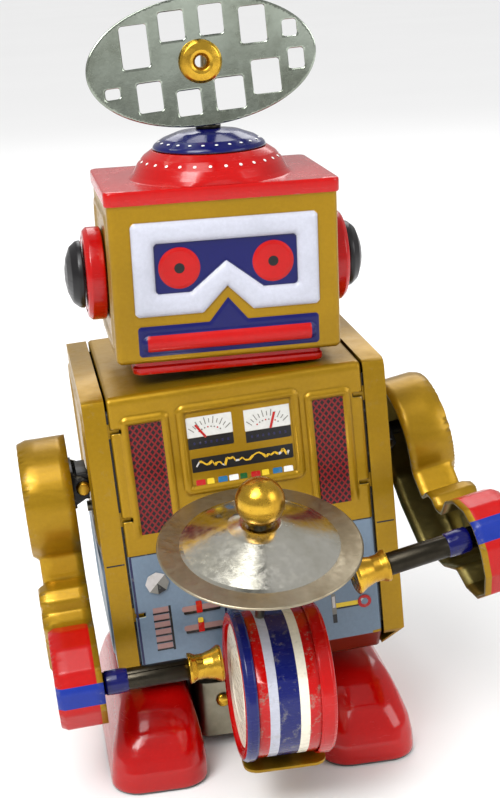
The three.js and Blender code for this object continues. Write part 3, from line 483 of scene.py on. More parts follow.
def prism(name, outline, axis, a0, a1, mats, at, body, bevel=0.25, **kw):
    """Straight prism of an outline, from a0 to a1 along the axis."""
    pts = anticlockwise(outline)
    n = len(pts)
    verts = [in_plane(axis, u, v, w) for w in (a0, a1) for u, v in pts]
    faces = [tuple(range(n - 1, -1, -1)), tuple(range(n, 2 * n))]
    faces += [(i, (i + 1) % n, n + (i + 1) % n, n + i) for i in range(n)]
    if axis == "y":
        faces = [f[::-1] for f in faces]
    return make(name, verts, faces, mats, at, body, bevel=bevel, **kw)


def refine(node, mat, bevel, segments):
    """A CAD node's own solid with its flat faces merged and its edges rounded."""
    src = frame["nodes"][node]
    me = src.data.copy()
    me.name = node + "_body"
    bm = bmesh.new()
    bm.from_mesh(me)
    bmesh.ops.remove_doubles(bm, verts=bm.verts, dist=1e-6)
    bmesh.ops.dissolve_limit(bm, angle_limit=math.radians(1.0), verts=bm.verts, edges=bm.edges)
    bm.to_mesh(me)
    bm.free()
    me.materials.clear()
    me.materials.append(MATS[mat])
    me.polygons.foreach_set("material_index", np.zeros(len(me.polygons), np.int32))
    shade(me, 38)
    o = add_object(node + "_body", me)
    round_edges(o, bevel, segments, 30).use_clamp_overlap = True
    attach(o, src["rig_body"])
    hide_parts(node)


def spots(name, mats, at, body, centres, normals, radius, height, n=10, slot=None):
    """Small domed dots, one mesh."""
    verts, faces = [], []
    for c, nrm in zip(centres, normals):
        q = Vector(nrm).to_track_quat("Z", "X")
        base = len(verts)
        for r, h in ((1.0, 0.0), (0.72, 0.6), (0.0, 1.0)):
            count = n if r > 0 else 1
            for i in range(count):
                a = 2 * PI * i / n
                p = Vector(c) + q @ Vector((radius * r * math.cos(a), radius * r * math.sin(a), height * h))
                verts.append(tuple(p))
        for i in range(n):
            j = (i + 1) % n
            faces.append((base + i, base + j, base + n + j, base + n + i))
            faces.append((base + n + i, base + n + j, base + 2 * n))
        faces.append(tuple(base + i for i in range(n - 1, -1, -1)))
    return make(name, verts, faces, mats, at, body, slot=slot)

# ---- torso sheet
# Half width, half depth and top of the wrap. Its faces end at LOW and slope in by LIP_IN down to LIP.
HALF, DEEP, TOP, LOW, LIP, LIP_IN = 33.6, 31.0, 110.5, 31.8, 25.4, 4.6
# Low left and high right corners of the grilles and the gauges; the lamps' colours from left to right.
GRILLES = [(-28.9, 72.0, -20.2, 102.7), (19.8, 72.0, 28.1, 101.9)]
GAUGES = [(-13.9, 93.5, -1.8, 102.3), (1.4, 93.0, 13.6, 102.1)]
LAMPS = "ryuwgryuw"
PANEL_TOP = 66.3
KNOB = (-26.7, 57.8)
LEVER = (29.3, 42.0)
SLIDERS = (48.6, 42.9)
TAB_X, TAB_SLOTS = 30.8, (49, 76.8, 101.5)
KEY_Z = 52


def folded_edge(x):
    """Fall of the sheet at its two side edges, where it wraps round the covers."""
    return 0.45 * np.clip((np.abs(x) - (HALF - 0.9)) / 0.9, 0, 1) ** 2


def torso_front_height(x, z):
    h = 0 * x
    for x0, z0, x1, z1 in GRILLES:
        d = d_rect(x, z, x0 - 1.0, z0 - 6, x1 + 1.0, z1 + 1.2, 0.8)
        h = np.maximum(h, 0.85 * bead(d, 1.05) * np.clip((z - z0 + 1) / 4, 0, 1))
        inside = step(d_rect(x, z, x0, z0, x1, z1, 0.2), 0.3)
        h = h - 0.18 * inside
    d = d_rect(x, z, -15.2, 82.0, 15.2, 104.8, 1.2)
    h = np.maximum(h, 0.85 * bead(d, 1.1))
    h = h + 0.5 * step(d_circle(x, z, *KNOB, 2.6), 1.5)
    for z0 in SLIDERS:
        h = h + 0.28 * step(d_line(x, z, -20.2, z0, -10.4, z0, 0.7), 0.8)
    return h + 0.45 * bead(d_circle(x, z, *LEVER, 0), 1.4)


def torso_back_height(x, z):
    h = 0.9 * bead(d_rect(x, z, -27, 40, 27, 102, 3), 1.2)
    for k in range(5):
        h = h + 0.7 * bead(d_line(x, z, -14, 80 + 3.6 * k, 14, 80 + 3.6 * k, 0), 1.0)
    return h + 0.7 * bead(d_circle(x, z, 0, KEY_Z, 7.5), 1.1)


def build_torso_sheet():
    path = rounded([(-DEEP + LIP_IN, LIP), (-DEEP, LOW), (-DEEP, TOP), (DEEP, TOP), (DEEP, LOW),
                    (DEEP - LIP_IN, LIP)], [0, 0.8, 2.2, 2.2, 0.8, 0], 6)
    pts = []
    for (y0, z0), (y1, z1) in zip(path[:-1], path[1:]):
        if max(y0, y1) < -DEEP + 1e-6:
            # The front: grid lines run along the edges of the prints and the slots.
            zs = lines(z0, z1, 0.42, [37, 50.6, PANEL_TOP, 72, 101.9, 102.7, 93, 93.5, 87, 91, 83, 85,
                                      49 - 0.6, 49 + 0.6, 76.2, 77.4, 100.9, 102.1])
            pts += [(y0, z) for z in zs[:-1]]
        else:
            n = max(1, int(round(math.hypot(y1 - y0, z1 - z0) / 0.9)))
            pts += [(y0 + (y1 - y0) * k / n, z0 + (z1 - z0) * k / n) for k in range(n)]
    pts.append(path[-1])
    pts = np.array(pts)
    tang = np.gradient(pts, axis=0)
    tang /= np.linalg.norm(tang, axis=1)[:, None]
    normal = np.stack([-tang[:, 1], tang[:, 0]], 1)
    xs = lines(-HALF, HALF, 0.42, [-TAB_X, TAB_X, -28.9, -20.2, 19.8, 28.1, -13.9, -1.8, 1.4, 13.6])
    rows, cols = len(pts), len(xs)
    X = np.tile(xs, (rows, 1))
    Y = np.tile(pts[:, :1], (1, cols))
    Z = np.tile(pts[:, 1:], (1, cols))
    front = (Y < -DEEP + 1e-3) & (Z > LOW + 1) & (Z < TOP - 2.4)
    back = (Y > DEEP - 1e-3) & (Z > LOW + 1) & (Z < TOP - 2.4)
    h = np.where(front, torso_front_height(X, Z), 0) + np.where(back, torso_back_height(X, Z), 0)
    h = h - folded_edge(X)
    V = np.stack([X, Y + normal[:, :1] * h, Z + normal[:, 1:] * h], -1).reshape(-1, 3)
    keep = np.ones((rows - 1, cols), bool)
    cx = (X[:-1, :-1] + X[1:, 1:]) / 2
    cy = (Y[:-1, :-1] + Y[1:, 1:]) / 2
    cz = (Z[:-1, :-1] + Z[1:, 1:]) / 2
    for zc in TAB_SLOTS:
        slot = (np.abs(cx) > TAB_X) & (np.abs(cz - zc) < 0.61) & (np.abs(np.abs(cy) - DEEP) < 0.5)
        keep[:, :-1] &= ~slot
    hole = (np.hypot(cx, cz - KEY_Z) < 3.2) & (cy > 30)
    keep[:, :-1] &= ~hole
    cut = (np.abs(cx) < 7) & (cy > -13.7) & (cy < 9) & (cz > TOP - 0.5)
    keep[:, :-1] &= ~cut
    far = np.where(front, 0, 9.0)
    behind = np.where(back, 0, 9.0)
    dark = [d_rect(X, Z, x0, z0, x1, z0 + 3.2) for x0, z0, x1, z1 in GAUGES]
    dark.append(d_rect(X, Z, -13.6, 87.0, 13.6, 91.0))
    layers = {
        "panel": d_rect(X, Z, -40, 20, 40, PANEL_TOP) + np.minimum(far, behind),
        # painted_lip_shade: the lip that slopes in below LOW is painted dark maroon, a painted shade.
        "painted_lip_shade": np.where(Z < TOP - 20, Z - LOW, 9.0),
        "mesh": union(*[d_rect(X, Z, *g) for g in GRILLES]) + far,
        "dial": union(*[d_rect(X, Z, x0, z0 + 3.2, x1, z1) for x0, z0, x1, z1 in GAUGES]) + far,
        "dark": union(*dark) + far,
    }
    return V, grid_faces(rows, cols, keep=keep), layers


def ink_mesh(m, col, attr):
    """Printed speaker mesh: dark cells between crossed crimson lines."""
    sep = m.node("SeparateXYZ", {0: m.attr("face_xz", "Vector")})

    def wave(a, b):
        return m.math("SINE", m.add(m.times(sep.outputs[0], a), m.times(sep.outputs[1], b)))
    k = 2 * PI / 1.7
    cells = m.math("MAXIMUM", wave(k, k * 0.8), wave(k, -k * 0.8))
    inks = m.mix(m.remap(cells, 0.25, 0.8), linear(14, 2, 4), linear(118, 8, 12))
    return m.mix(m.printed(attr), col, inks)


def torso_material():
    m = gold_enamel("torso_litho", [
        # The sloped-under lip is painted dark maroon: painted shade.
        ("panel", PANEL, 0.1), ("painted_lip_shade", linear(112, 34, 18), 0.1), ("mesh", linear(60, 8, 14), 0.0),
        ("dial", linear(208, 208, 204), 0.0), ("dark", BLACK, 0.0)])
    base = m.bsdf.inputs["Base Color"]
    m.link(ink_mesh(m, base.links[0].from_socket, "mesh"), base)


torso_material()
V, F, L = build_torso_sheet()
sheet = make("torso_sheet", V, F, "torso_litho", TORSO, "torso", ["body_wrap"], "gold_litho_tin",
             attrs=L, angle=50, thick=0.8, back="tin_inside")
face = sheet.data.attributes.new("face_xz", "FLOAT_VECTOR", "POINT")
face.data.foreach_set("vector", np.stack([V[:, 0], V[:, 2], V[:, 1]], 1).astype(np.float32).ravel())


# Black strips behind the seams and the tab slots, front and back: painted shade that makes the gaps look
# dark.
SHADE_STRIP_Y = 29.6
for k, (side, face) in enumerate(((-1, -1), (1, -1), (-1, 1), (1, 1))):
    prism("seam_shade_strip_%d" % (k + 1), bar(side * 31.0, 34.5, side * 38.9, 107.0), "y",
          face * SHADE_STRIP_Y - 0.15, face * SHADE_STRIP_Y + 0.15, "black", TORSO, "torso", bevel=0.05,
          slot="black_enamel")

# ---- small printed marks
PRINT = {}


def ink(color, body, at, axis, offset, outline, height=0.05):
    """Adds a printed patch to the batch of its colour: a flat outline lifted off the sheet."""
    PRINT.setdefault((color, body), []).append((at, axis, offset, outline, height))


def stroke(u0, v0, u1, v1, w):
    du, dv = u1 - u0, v1 - v0
    n = math.hypot(du, dv)
    a, b = -dv / n * w / 2, du / n * w / 2
    return [(u0 + a, v0 + b), (u0 - a, v0 - b), (u1 - a, v1 - b), (u1 + a, v1 + b)]


def disc(cu, cv, r, n=20):
    return [(cu + r * math.cos(2 * PI * i / n), cv + r * math.sin(2 * PI * i / n)) for i in range(n)]


def flush_prints():
    """One mesh for each ink on each body."""
    for (color, body), patches in PRINT.items():
        verts, faces = [], []
        for at, axis, offset, outline, height in patches:
            n = len(outline)
            sign = 1 if axis.startswith("+") else -1
            base = len(verts)
            for lift in (-0.02, height):
                for u, v in anticlockwise(outline):
                    verts.append(tuple(at @ Vector(in_plane(axis[1], u, v, offset + sign * lift))))
            flip = (axis[1] == "y") != (sign < 0)
            top = [base + n + i for i in range(n)]
            low = [base + n - 1 - i for i in range(n)]
            walls = [(base + i, base + (i + 1) % n, base + n + (i + 1) % n, base + n + i) for i in range(n)]
            for f in [top, low] + walls:
                faces.append(f[::-1] if flip else f)
        make("print_%s_%s" % (color, body), verts, faces, color, Matrix.Identity(4), body,
             slot="gold_litho_tin", angle=30)


def print_inks():
    for name, color in (("ink_black", BLACK), ("ink_white", linear(236, 236, 232)), ("ink_red", RED),
                        ("ink_yellow", linear(228, 196, 40)), ("ink_blue", linear(30, 104, 152)),
                        ("ink_green", linear(10, 84, 30)), ("ink_grey", linear(120, 118, 112)),
                        ("ink_pink", linear(150, 116, 112)), ("ink_gold", linear(214, 170, 40)),
                        ("ink_navy", linear(30, 30, 70)), ("ink_pale", linear(196, 192, 190))):
        enamel(name, color, 0.0, 0.28, 0.4, wear=0.3)


def print_torso_front():
    def put(color, outline, lift=0.0):
        ink("ink_" + color, "torso", TORSO, "-y", -DEEP - lift, outline)
    rng = np.random.default_rng(7)
    colors = {"r": "red", "y": "yellow", "u": "blue", "w": "white", "g": "green"}
    for i, c in enumerate(LAMPS):
        x0 = -13.0 + 2.95 * i
        wide = 2.5 if c in "ruw" else 1.9
        put(colors[c], rounded(bar(x0, 83.1, x0 + wide, 84.9), 0.35, 3, True))
    # Maker's strip: meaningless gold scribble on the dark bar.
    x = -12.4
    z = 88.6
    while x < 12.0:
        nx = x + rng.uniform(0.5, 1.1)
        nz = 89.0 + rng.uniform(-1.1, 1.1)
        put("gold" if rng.random() < 0.75 else "pale", stroke(x, z, nx, nz, rng.uniform(0.3, 0.7)), 0.02)
        x, z = nx, nz
    # Dials: scale ticks and needles.
    for k, (x0, z0, x1, _) in enumerate(GAUGES):
        cx, cz = (x0 + x1) / 2, z0 + 1.2
        for i in range(11):
            a = math.radians(140 - 10 * i)
            ca, sa = math.cos(a), math.sin(a)
            r0, r1 = (5.6, 6.8) if i % 2 else (5.4, 7.3)
            put("grey", stroke(cx + r0 * ca, cz + r0 * sa, cx + r1 * ca, cz + r1 * sa, 0.22))
        for i in range(8):
            a = math.radians(128 - 11 * i)
            put("grey" if i % 3 else "red", disc(cx + 4.5 * math.cos(a), cz + 4.5 * math.sin(a), 0.22, 8))
        a = math.radians(124 if k == 0 else 72)
        put("red", stroke(cx + 2.1 * math.cos(a), cz + 2.1 * math.sin(a), cx + 6.6 * math.cos(a),
                          cz + 6.6 * math.sin(a), 0.62), 0.03)
        for i in range(7):
            put("navy", bar(x0 + 1.4 + 1.5 * i, z0 + 1.2, x0 + 1.9 + 1.5 * i, z0 + 1.9), 0.01)
    # Lower panel: knob facets, vent bars, two sliders and a lever.
    for i in range(8):
        a0, a1 = math.radians(45 * i), math.radians(45 * (i + 1))
        tri = [KNOB] + [(KNOB[0] + 3.2 * math.cos(a), KNOB[1] + 3.2 * math.sin(a)) for a in (a0, a1)]
        put(("grey", "pale", "pale", "pale", "pale", "grey", "black", "grey")[i], tri, 0.5)
    put("black", bar(-24.5, 37.4, -23.9, 50.6))
    for i in range(6):
        z0 = 38.2 + 2.15 * i
        put("pink", bar(-28.8, z0, -24.6, z0 + 1.5))
        put("black", bar(-28.9, z0 - 0.5, -24.5, z0), 0.01)
    for z0 in SLIDERS:
        put("pink", rounded(bar(-21, z0 - 0.7, -10.2, z0 + 0.9), 0.75, 4, True), 0.28)
        put("black", rounded(bar(-20.6, z0 - 1.5, -10.6, z0 - 0.55), 0.4, 3, True), 0.25)
        put("red", rounded(bar(-17.1, z0 - 1.5, -15.5, z0 + 2.0), 0.3, 3, True), 0.3)
    put("yellow", rounded(bar(-17.0, 44.2, -15.6, 45.6), 0.3, 3, True), 0.32)
    put("navy", bar(-9.4, 36, -8.8, 64))
    put("grey", bar(20.1, 36.8, 21.3, 45.6))
    put("pale", bar(20.3, 41.4, 21.1, 44.8), 0.01)
    put("black", bar(20.1, 36.8, 21.3, 39.4), 0.02)
    put("yellow", bar(21.3, 41.3, 28.6, 42.6), 0.01)
    put("black", bar(21.3, 40.8, 28.2, 41.3))
    put("red", disc(*LEVER, 1.9), 0.25)
    put("pale", disc(28.7, 42.6, 0.45, 10), 0.31)
    put("black", bar(-33.2, 66.1, 33.2, 66.4))
    put("navy", bar(-33.3, 33, -32.7, 66.1))
    for s in (-1, 1):
        ink("ink_black", "torso", TORSO, "-y", -DEEP, bar(s * 34.6, 64.3, s * 39.4, 64.7))
    for x in (-6, 4, 14):
        put("navy", disc(x, 58, 2.6))
        put("pale", disc(x, 58, 1.9), 0.02)
        put("red", stroke(x, 58, x + 1.0, 59.4, 0.5), 0.05)
    for i in range(6):
        put("white" if i % 2 else "red", bar(-6 + 3.6 * i, 50, -3.8 + 3.6 * i, 51.6))


print_inks()
print_torso_front()

# ---- side covers
COVER_X, COVER_Y, COVER_LOW, COVER_HIGH, COVER_LINE = 40, 29.6, 33.4, 109.2, 64.5
gold_enamel("side_litho", [("panel", PANEL, 0.1), ("line", BLACK, 0.0)])
for side, word in WORD.items():
    refine(word + "_side_cover", "gold", 0.5, 3)
    ys = lines(-COVER_Y, COVER_Y, 0.6, [SHOULDER_Y])
    zs = lines(COVER_LOW, COVER_HIGH, 0.6, [COVER_LINE])
    Yg, Zg = np.meshgrid(ys, zs)
    hgt = 0.05 + 0.55 * bead(d_rect(Yg, Zg, -26, 69, 26, 105, 3), 1.2)
    hgt = hgt + 0.5 * bead(d_rect(Yg, Zg, -26, 36.5, 26, 61, 3), 1.1)
    rim = union(d_circle(Yg, Zg, SHOULDER_Y, SHOULDER_Z, 3.4), d_circle(Yg, Zg, SHOULDER_Y, ROD_Z, 2.5))
    out = np.minimum(np.minimum(Yg + COVER_Y, COVER_Y - Yg), np.minimum(Zg - COVER_LOW, COVER_HIGH - Zg))
    hgt = hgt - 0.08 * np.clip(1 - out / 0.7, 0, 1)
    Vs = np.stack([side * (COVER_X + hgt), Yg, Zg], -1).reshape(-1, 3)
    keep = np.ones((len(zs) - 1, len(ys)), bool)
    keep[:, :-1] = rim[:-1, :-1] > 0.3
    Fs = grid_faces(len(zs), len(ys), keep=keep)
    if side < 0:
        Fs = [f[::-1] for f in Fs]
    make(word + "_side_litho", Vs, Fs, "side_litho", TORSO, "torso",
         slot="gold_litho_tin", thick=0.04, angle=50,
         attrs={"panel": Zg - COVER_LINE, "line": np.abs(Zg - COVER_LINE) - 0.25})

# ---- head
# Foot and top of the head, half its width, and the y of its front and back.
H0, H1 = 116.4, 158.8
HX, HF, HB = 29.5, -28.6, 13.8
VISOR = [(-24, 13.2), (-23.1, 12.3), (-6.6, 12.3), (0, 18.9), (6.6, 12.3), (23.1, 12.3), (24, 13.2),
         (24, 35.6), (23.1, 36.5), (-23.1, 36.5), (-24, 35.6)]
GLASS = [(-18.4, 18.6), (-17.8, 18), (-9.4, 18), (0, 25.5), (9.4, 18), (17.8, 18), (18.4, 18.6),
         (18.4, 30.4), (17.8, 31), (-17.8, 31), (-18.4, 30.4)]
MOUTH = [(-23.6, 2.4), (-23.0, 1.8), (23.0, 1.8), (23.6, 2.4), (23.6, 9.2), (23.0, 9.8), (5.0, 9.8),
         (0, 15.9), (-5.0, 9.8), (-23.0, 9.8), (-23.6, 9.2)]
EYE_X, EYE_Z = 12.1, 24.4


def head_section():
    """Points round the head in plan, from the middle of the back, with outward normals."""
    r = 1.6
    corners = [(HX - r, HB - r, 90, 0), (HX - r, HF + r, 0, -90), (-HX + r, HF + r, -90, -180),
               (-HX + r, HB - r, 180, 90)]
    pts, nrm = [], []
    fine = lines(-HX + r, HX - r, 0.4, [-24, 24, -18.4, 18.4, -23.6, 23.6])

    def run(p0, p1, n, gap):
        k = max(1, int(round(math.dist(p0, p1) / gap)))
        for i in range(k):
            pts.append((p0[0] + (p1[0] - p0[0]) * i / k, p0[1] + (p1[1] - p0[1]) * i / k))
            nrm.append(n)
    run((0, HB), (HX - r, HB), (0, 1), 1.0)
    for i, (cx, cy, a0, a1) in enumerate(corners):
        for k in range(6):
            a = math.radians(a0 + (a1 - a0) * k / 6)
            pts.append((cx + r * math.cos(a), cy + r * math.sin(a)))
            nrm.append((math.cos(a), math.sin(a)))
        if i == 0:
            run((HX, HB - r), (HX, HF + r), (1, 0), 1.0)
        elif i == 1:
            for x in fine[::-1][:-1]:
                pts.append((x, HF))
                nrm.append((0, -1))
        elif i == 2:
            run((-HX, HF + r), (-HX, HB - r), (-1, 0), 1.0)
        else:
            run((-HX + r, HB), (0, HB), (0, 1), 1.0)
    return np.array(pts), np.array(nrm, float)


def build_head():
    P, N = head_section()
    zs = lines(0.0, H1 - H0, 0.4, [12.3, 18, 31, 36.5, 1.8, 9.8])
    rows, cols = len(zs), len(P)
    X = np.tile(P[:, 0], (rows, 1))
    Y = np.tile(P[:, 1], (rows, 1))
    Zl = np.tile(zs[:, None], (1, cols))
    front = Y < HF + 1e-3
    dv, dg, dm = d_poly(X, Zl, VISOR), d_poly(X, Zl, GLASS), d_poly(X, Zl, MOUTH)
    band = np.maximum(dv, -dg)
    h = 1.35 * np.sqrt(np.clip(1 - (1 - np.clip(-band / 2.4, 0, 1)) ** 2, 0, 1))
    for s in (-1, 1):
        h = h + 0.35 * step(d_circle(X, Zl, s * EYE_X, EYE_Z, 5.0), 0.8)
    h = h + 0.35 * step(dm + 0.3, 0.9) * (band > 0)
    lip = d_line(X, Zl, -20.6, 5.3, 20.6, 5.3, 0)
    h = h + 1.15 * bead(lip, 2.2)
    h = np.where(front, h, 0)
    side = np.abs(X) > HX - 0.3
    d_side = d_rect(Y, Zl, HF + 4, 4, HB - 4, 37, 3)
    h = h + np.where(side, 0.5 * bead(d_side, 1.1), 0)
    rear = Y > HB - 1e-3
    h = h + np.where(rear, 0.7 * bead(d_rect(X, Zl, -22, 6, 22, 35, 3), 1.2), 0)
    for k in range(4):
        h = h + np.where(rear, 0.6 * bead(d_line(X, Zl, -12, 14 + 4 * k, 12, 14 + 4 * k, 0), 1.0), 0)
    fold = np.clip(1 - Zl / 1.2, 0, 1)
    h = h - 0.9 * fold ** 2
    V = np.stack([X + N[:, 0] * h, Y + N[:, 1] * h, H0 + Zl], -1)
    # Floor flange: the sheet turns in under the head.
    inner = V[0].copy()
    inner[:, 0] *= 0.9
    inner[:, 1] = (inner[:, 1] - (HF + HB) / 2) * 0.86 + (HF + HB) / 2
    V = np.concatenate([inner[None], V], 0)
    far = np.where(front, 0, 99.0)
    pad = np.full((1, cols), 9.0)

    def lay(d):
        return np.concatenate([pad, d + far], 0)
    eyes, pupils = [union(*[d_circle(X, Zl, s * EYE_X, EYE_Z, r) for s in (-1, 1)])
                    for r in (5.35, 1.35)]
    layers = {"white": lay(dv), "glass": lay(dg), "mouth": lay(dm), "eyes": lay(eyes), "pupils": lay(pupils),
              "lips": lay(d_rect(X, Zl, -21.4, 3.2, 21.4, 7.4, 0.4))}
    return V.reshape(-1, 3), grid_faces(rows + 1, cols, closed=True), layers


gold_enamel("head_litho", [("white", WHITE, 0.0), ("glass", BLUE, 0.0), ("mouth", BLUE, 0.0),
                           ("eyes", RED, 0.0), ("pupils", BLACK, 0.0), ("lips", RED, 0.0)])
V, F, L = build_head()
make("head_sheet", V, [f[::-1] for f in F], "head_litho", HEAD, "head", ["head_shell"], "gold_litho_tin",
     attrs=L, angle=60, thick=0.8, back="tin_inside")


def ring_rect(x0, y0, x1, y1, r, per=24):
    """Rounded rectangle sampled by angle count, anticlockwise from the middle of the +x side."""
    pts = []
    corners = [(x1 - r, y1 - r), (x0 + r, y1 - r), (x0 + r, y0 + r), (x1 - r, y0 + r)]
    for a0, (cx, cy) in zip((0, 90, 180, 270), corners):
        for k in range(per):
            a = math.radians(a0 + 90 * k / (per - 1))
            pts.append((cx + r * math.cos(a), cy + r * math.sin(a)))
    return np.array(pts)


def lid_ring(grow, r=1.9, per=7, between=20):
    """Outline of the lid with points along its straight sides too, so that a round middle stays round."""
    arcs = ring_rect(-HX - grow, HF - grow, HX + grow, HB + grow, r, per).reshape(4, per, 2)
    pts = []
    for k in range(4):
        pts.extend(arcs[k])
        start, end = arcs[k][-1], arcs[(k + 1) % 4][0]
        pts.extend(start + (end - start) * i / (between + 1) for i in range(1, between + 1))
    return np.array(pts)


LID_OUT = 0.6


def build_cap():
    """Pressed lid: dome steps in the middle, flat top, rolled rim."""
    outer = lid_ring(LID_OUT)
    n = len(outer)
    center = np.array([0, POST_Y])
    ang = np.unwrap(np.arctan2(outer[:, 1] - POST_Y, outer[:, 0]))
    dome = rounded([(2.8, 9.2), (15.2, 9.2), (17.4, 7.7), (19.1, 5.7), (20.4, 3.3), (21.4, 2.2), (23.4, 2.2)],
                   [0, 0.8, 1.4, 1.6, 1.4, 1.2, 0], 5)
    rings = []
    for r, h in dome:
        rings.append(np.stack([r * np.cos(ang), POST_Y + r * np.sin(ang), np.full(n, H1 + h)], 1))
    start = rings[-1][:, :2]
    start = np.stack([np.clip(start[:, 0], -HX, HX), np.clip(start[:, 1], HF + 0.3, HB - 0.2)], 1)
    rings[-1][:, :2] = start
    # Where the skirt of the dome meets an edge of the lid it is cut off square.
    for q in rings:
        q[:, 1] = np.clip(q[:, 1], HF + 0.3, HB + 0.1)
    for f in (0.25, 0.5, 0.75, 1.0):
        xy = start * (1 - f) + (outer * 0.985 + center * 0.015) * f
        rings.append(np.column_stack([xy, np.full(n, H1 + 2.2)]))
    for inset, h in ((0.25, 2.12), (0.06, 1.85), (0, 1.4), (0, 0.2), (0, -1.0), (0.12, -1.4), (0.5, -1.4)):
        rings.append(np.column_stack([lid_ring(LID_OUT - inset), np.full(n, H1 + h)]))
    return np.concatenate(rings), grid_faces(len(rings), n, closed=True)


V, F = build_cap()
make("head_lid", V, [f[::-1] for f in F], "red", HEAD, "head", ["head_cap"], "red_litho_tin", angle=50,
     thick=0.7, back="tin_inside")

dome_at = HEAD @ shift(0, POST_Y, H1)
dome_pts = rounded([(1.7, 14.2), (4, 14.0), (8.2, 13.4), (12.2, 11.9), (14.5, 10.4), (14.9, 9.5)], 3.0, 5)
lathe("head_dome_shell", dome_pts[::-1], "blue", dome_at, "head", n=80, nodes=["head_dome"],
      slot="blue_litho_tin", thick=0.5, back="tin_inside")
centres, normals = [], []
for r, h, count, phase, nz in ((13.2, 11.3, 24, 0.0, 0.8), (18.3, 6.72, 29, 0.1, 0.55)):
    for i in range(count):
        a = 2 * PI * (i + phase) / count
        c = dome_at @ Vector((r * math.cos(a), r * math.sin(a), h))
        centres.append(tuple(c))
        normals.append(((1 - nz) * math.cos(a), (1 - nz) * math.sin(a), nz))
spots("dome_dots", "ink_white", Matrix.Identity(4), "head", centres, normals, 0.46, 0.16, slot="nickel_plate")
collar_pts = rounded([(0.8, 14.0), (3.2, 14.0), (3.4, 14.9), (1.9, 15.6), (1.5, 15.6)], 0.3, 3)
lathe("dome_collar", collar_pts[::-1], "dark_steel", dome_at, "head", n=40, slot="dark_steel")

collar = []
for inset, z in ((1.1, 112.5), (0.25, 112.7), (0, 113.2), (0, 114.4), (0.5, 114.9), (0.5, 116.0),
                 (1.0, 116.1)):
    o = ring_rect(-25.2 + inset, HF + 2.6 + inset, 25.2 - inset, HB - 2.6 - inset, 2.0, 16)
    collar.append(np.column_stack([o, np.full(len(o), z)]))
make("neck_band", np.concatenate(collar), grid_faces(len(collar), len(o), closed=True), "red",
     HEAD, "head", ["neck_collar"], "red_litho_tin", thick=0.8, back="tin_inside")

EAR_Y, EAR_Z = (HF + HB) / 2, H0 + 20.2
EAR_CUP = rounded([(11.7, 0), (12.3, 0.4), (12.3, 3.9), (11.4, 4.9), (10.2, 5.2), (9.8, 4.6), (9.4, 5.1),
                   (0, 5.15)], [0, 0.3, 0.8, 0.6, 0.3, 0.2, 0.2, 0], 4)
EAR_BUTTON = rounded([(8.2, 0.0), (9.0, 0.1), (8.8, 1.4), (7.4, 3.1), (4.6, 4.25), (1.9, 4.72), (0, 4.8)],
                     1.2, 4)
for side, word in WORD.items():
    cup_at, button_at = [HEAD @ shift(side * (HX + out), EAR_Y, EAR_Z) @ turn("Y", side * 90)
                         for out in (0.3, 0.6 + 5.2)]
    lathe(word + "_ear_cup", EAR_CUP, "red", cup_at, "head", n=80, nodes=[word + "_ear_block"],
          slot="red_litho_tin", thick=0.7, back="tin_inside")
    lathe(word + "_ear_button", EAR_BUTTON, "black", button_at, "head", n=72, nodes=[word + "_ear_dome"],
          slot="black_enamel", thick=0.5)

# ---- antenna
DISH_Z, DISH_A, DISH_B, DISH_ROLL = 190.1, 29.5, 16.3, -4
DISH_MIDDLE = HEAD @ shift(-1.5, POST_Y - 2, DISH_Z)
DISH_HOLES = [(-19.9, 0.3, -12.7, 11), (-9.6, 5.9, -3, 13.2), (0.8, 6.3, 7, 13.8), (11, 3, 17.7, 12.2),
              (21.6, 3.6, 25.2, 7.8), (-25.4, -6.5, -21.4, -3.8), (-17.2, -11, -10.7, -3.6),
              (-7.1, -13.2, -0.9, -6.8), (3, -12.9, 10.5, -4.8), (12.8, -10, 20, -1.4),
              (22.4, -4.6, 26.4, 0.5)]


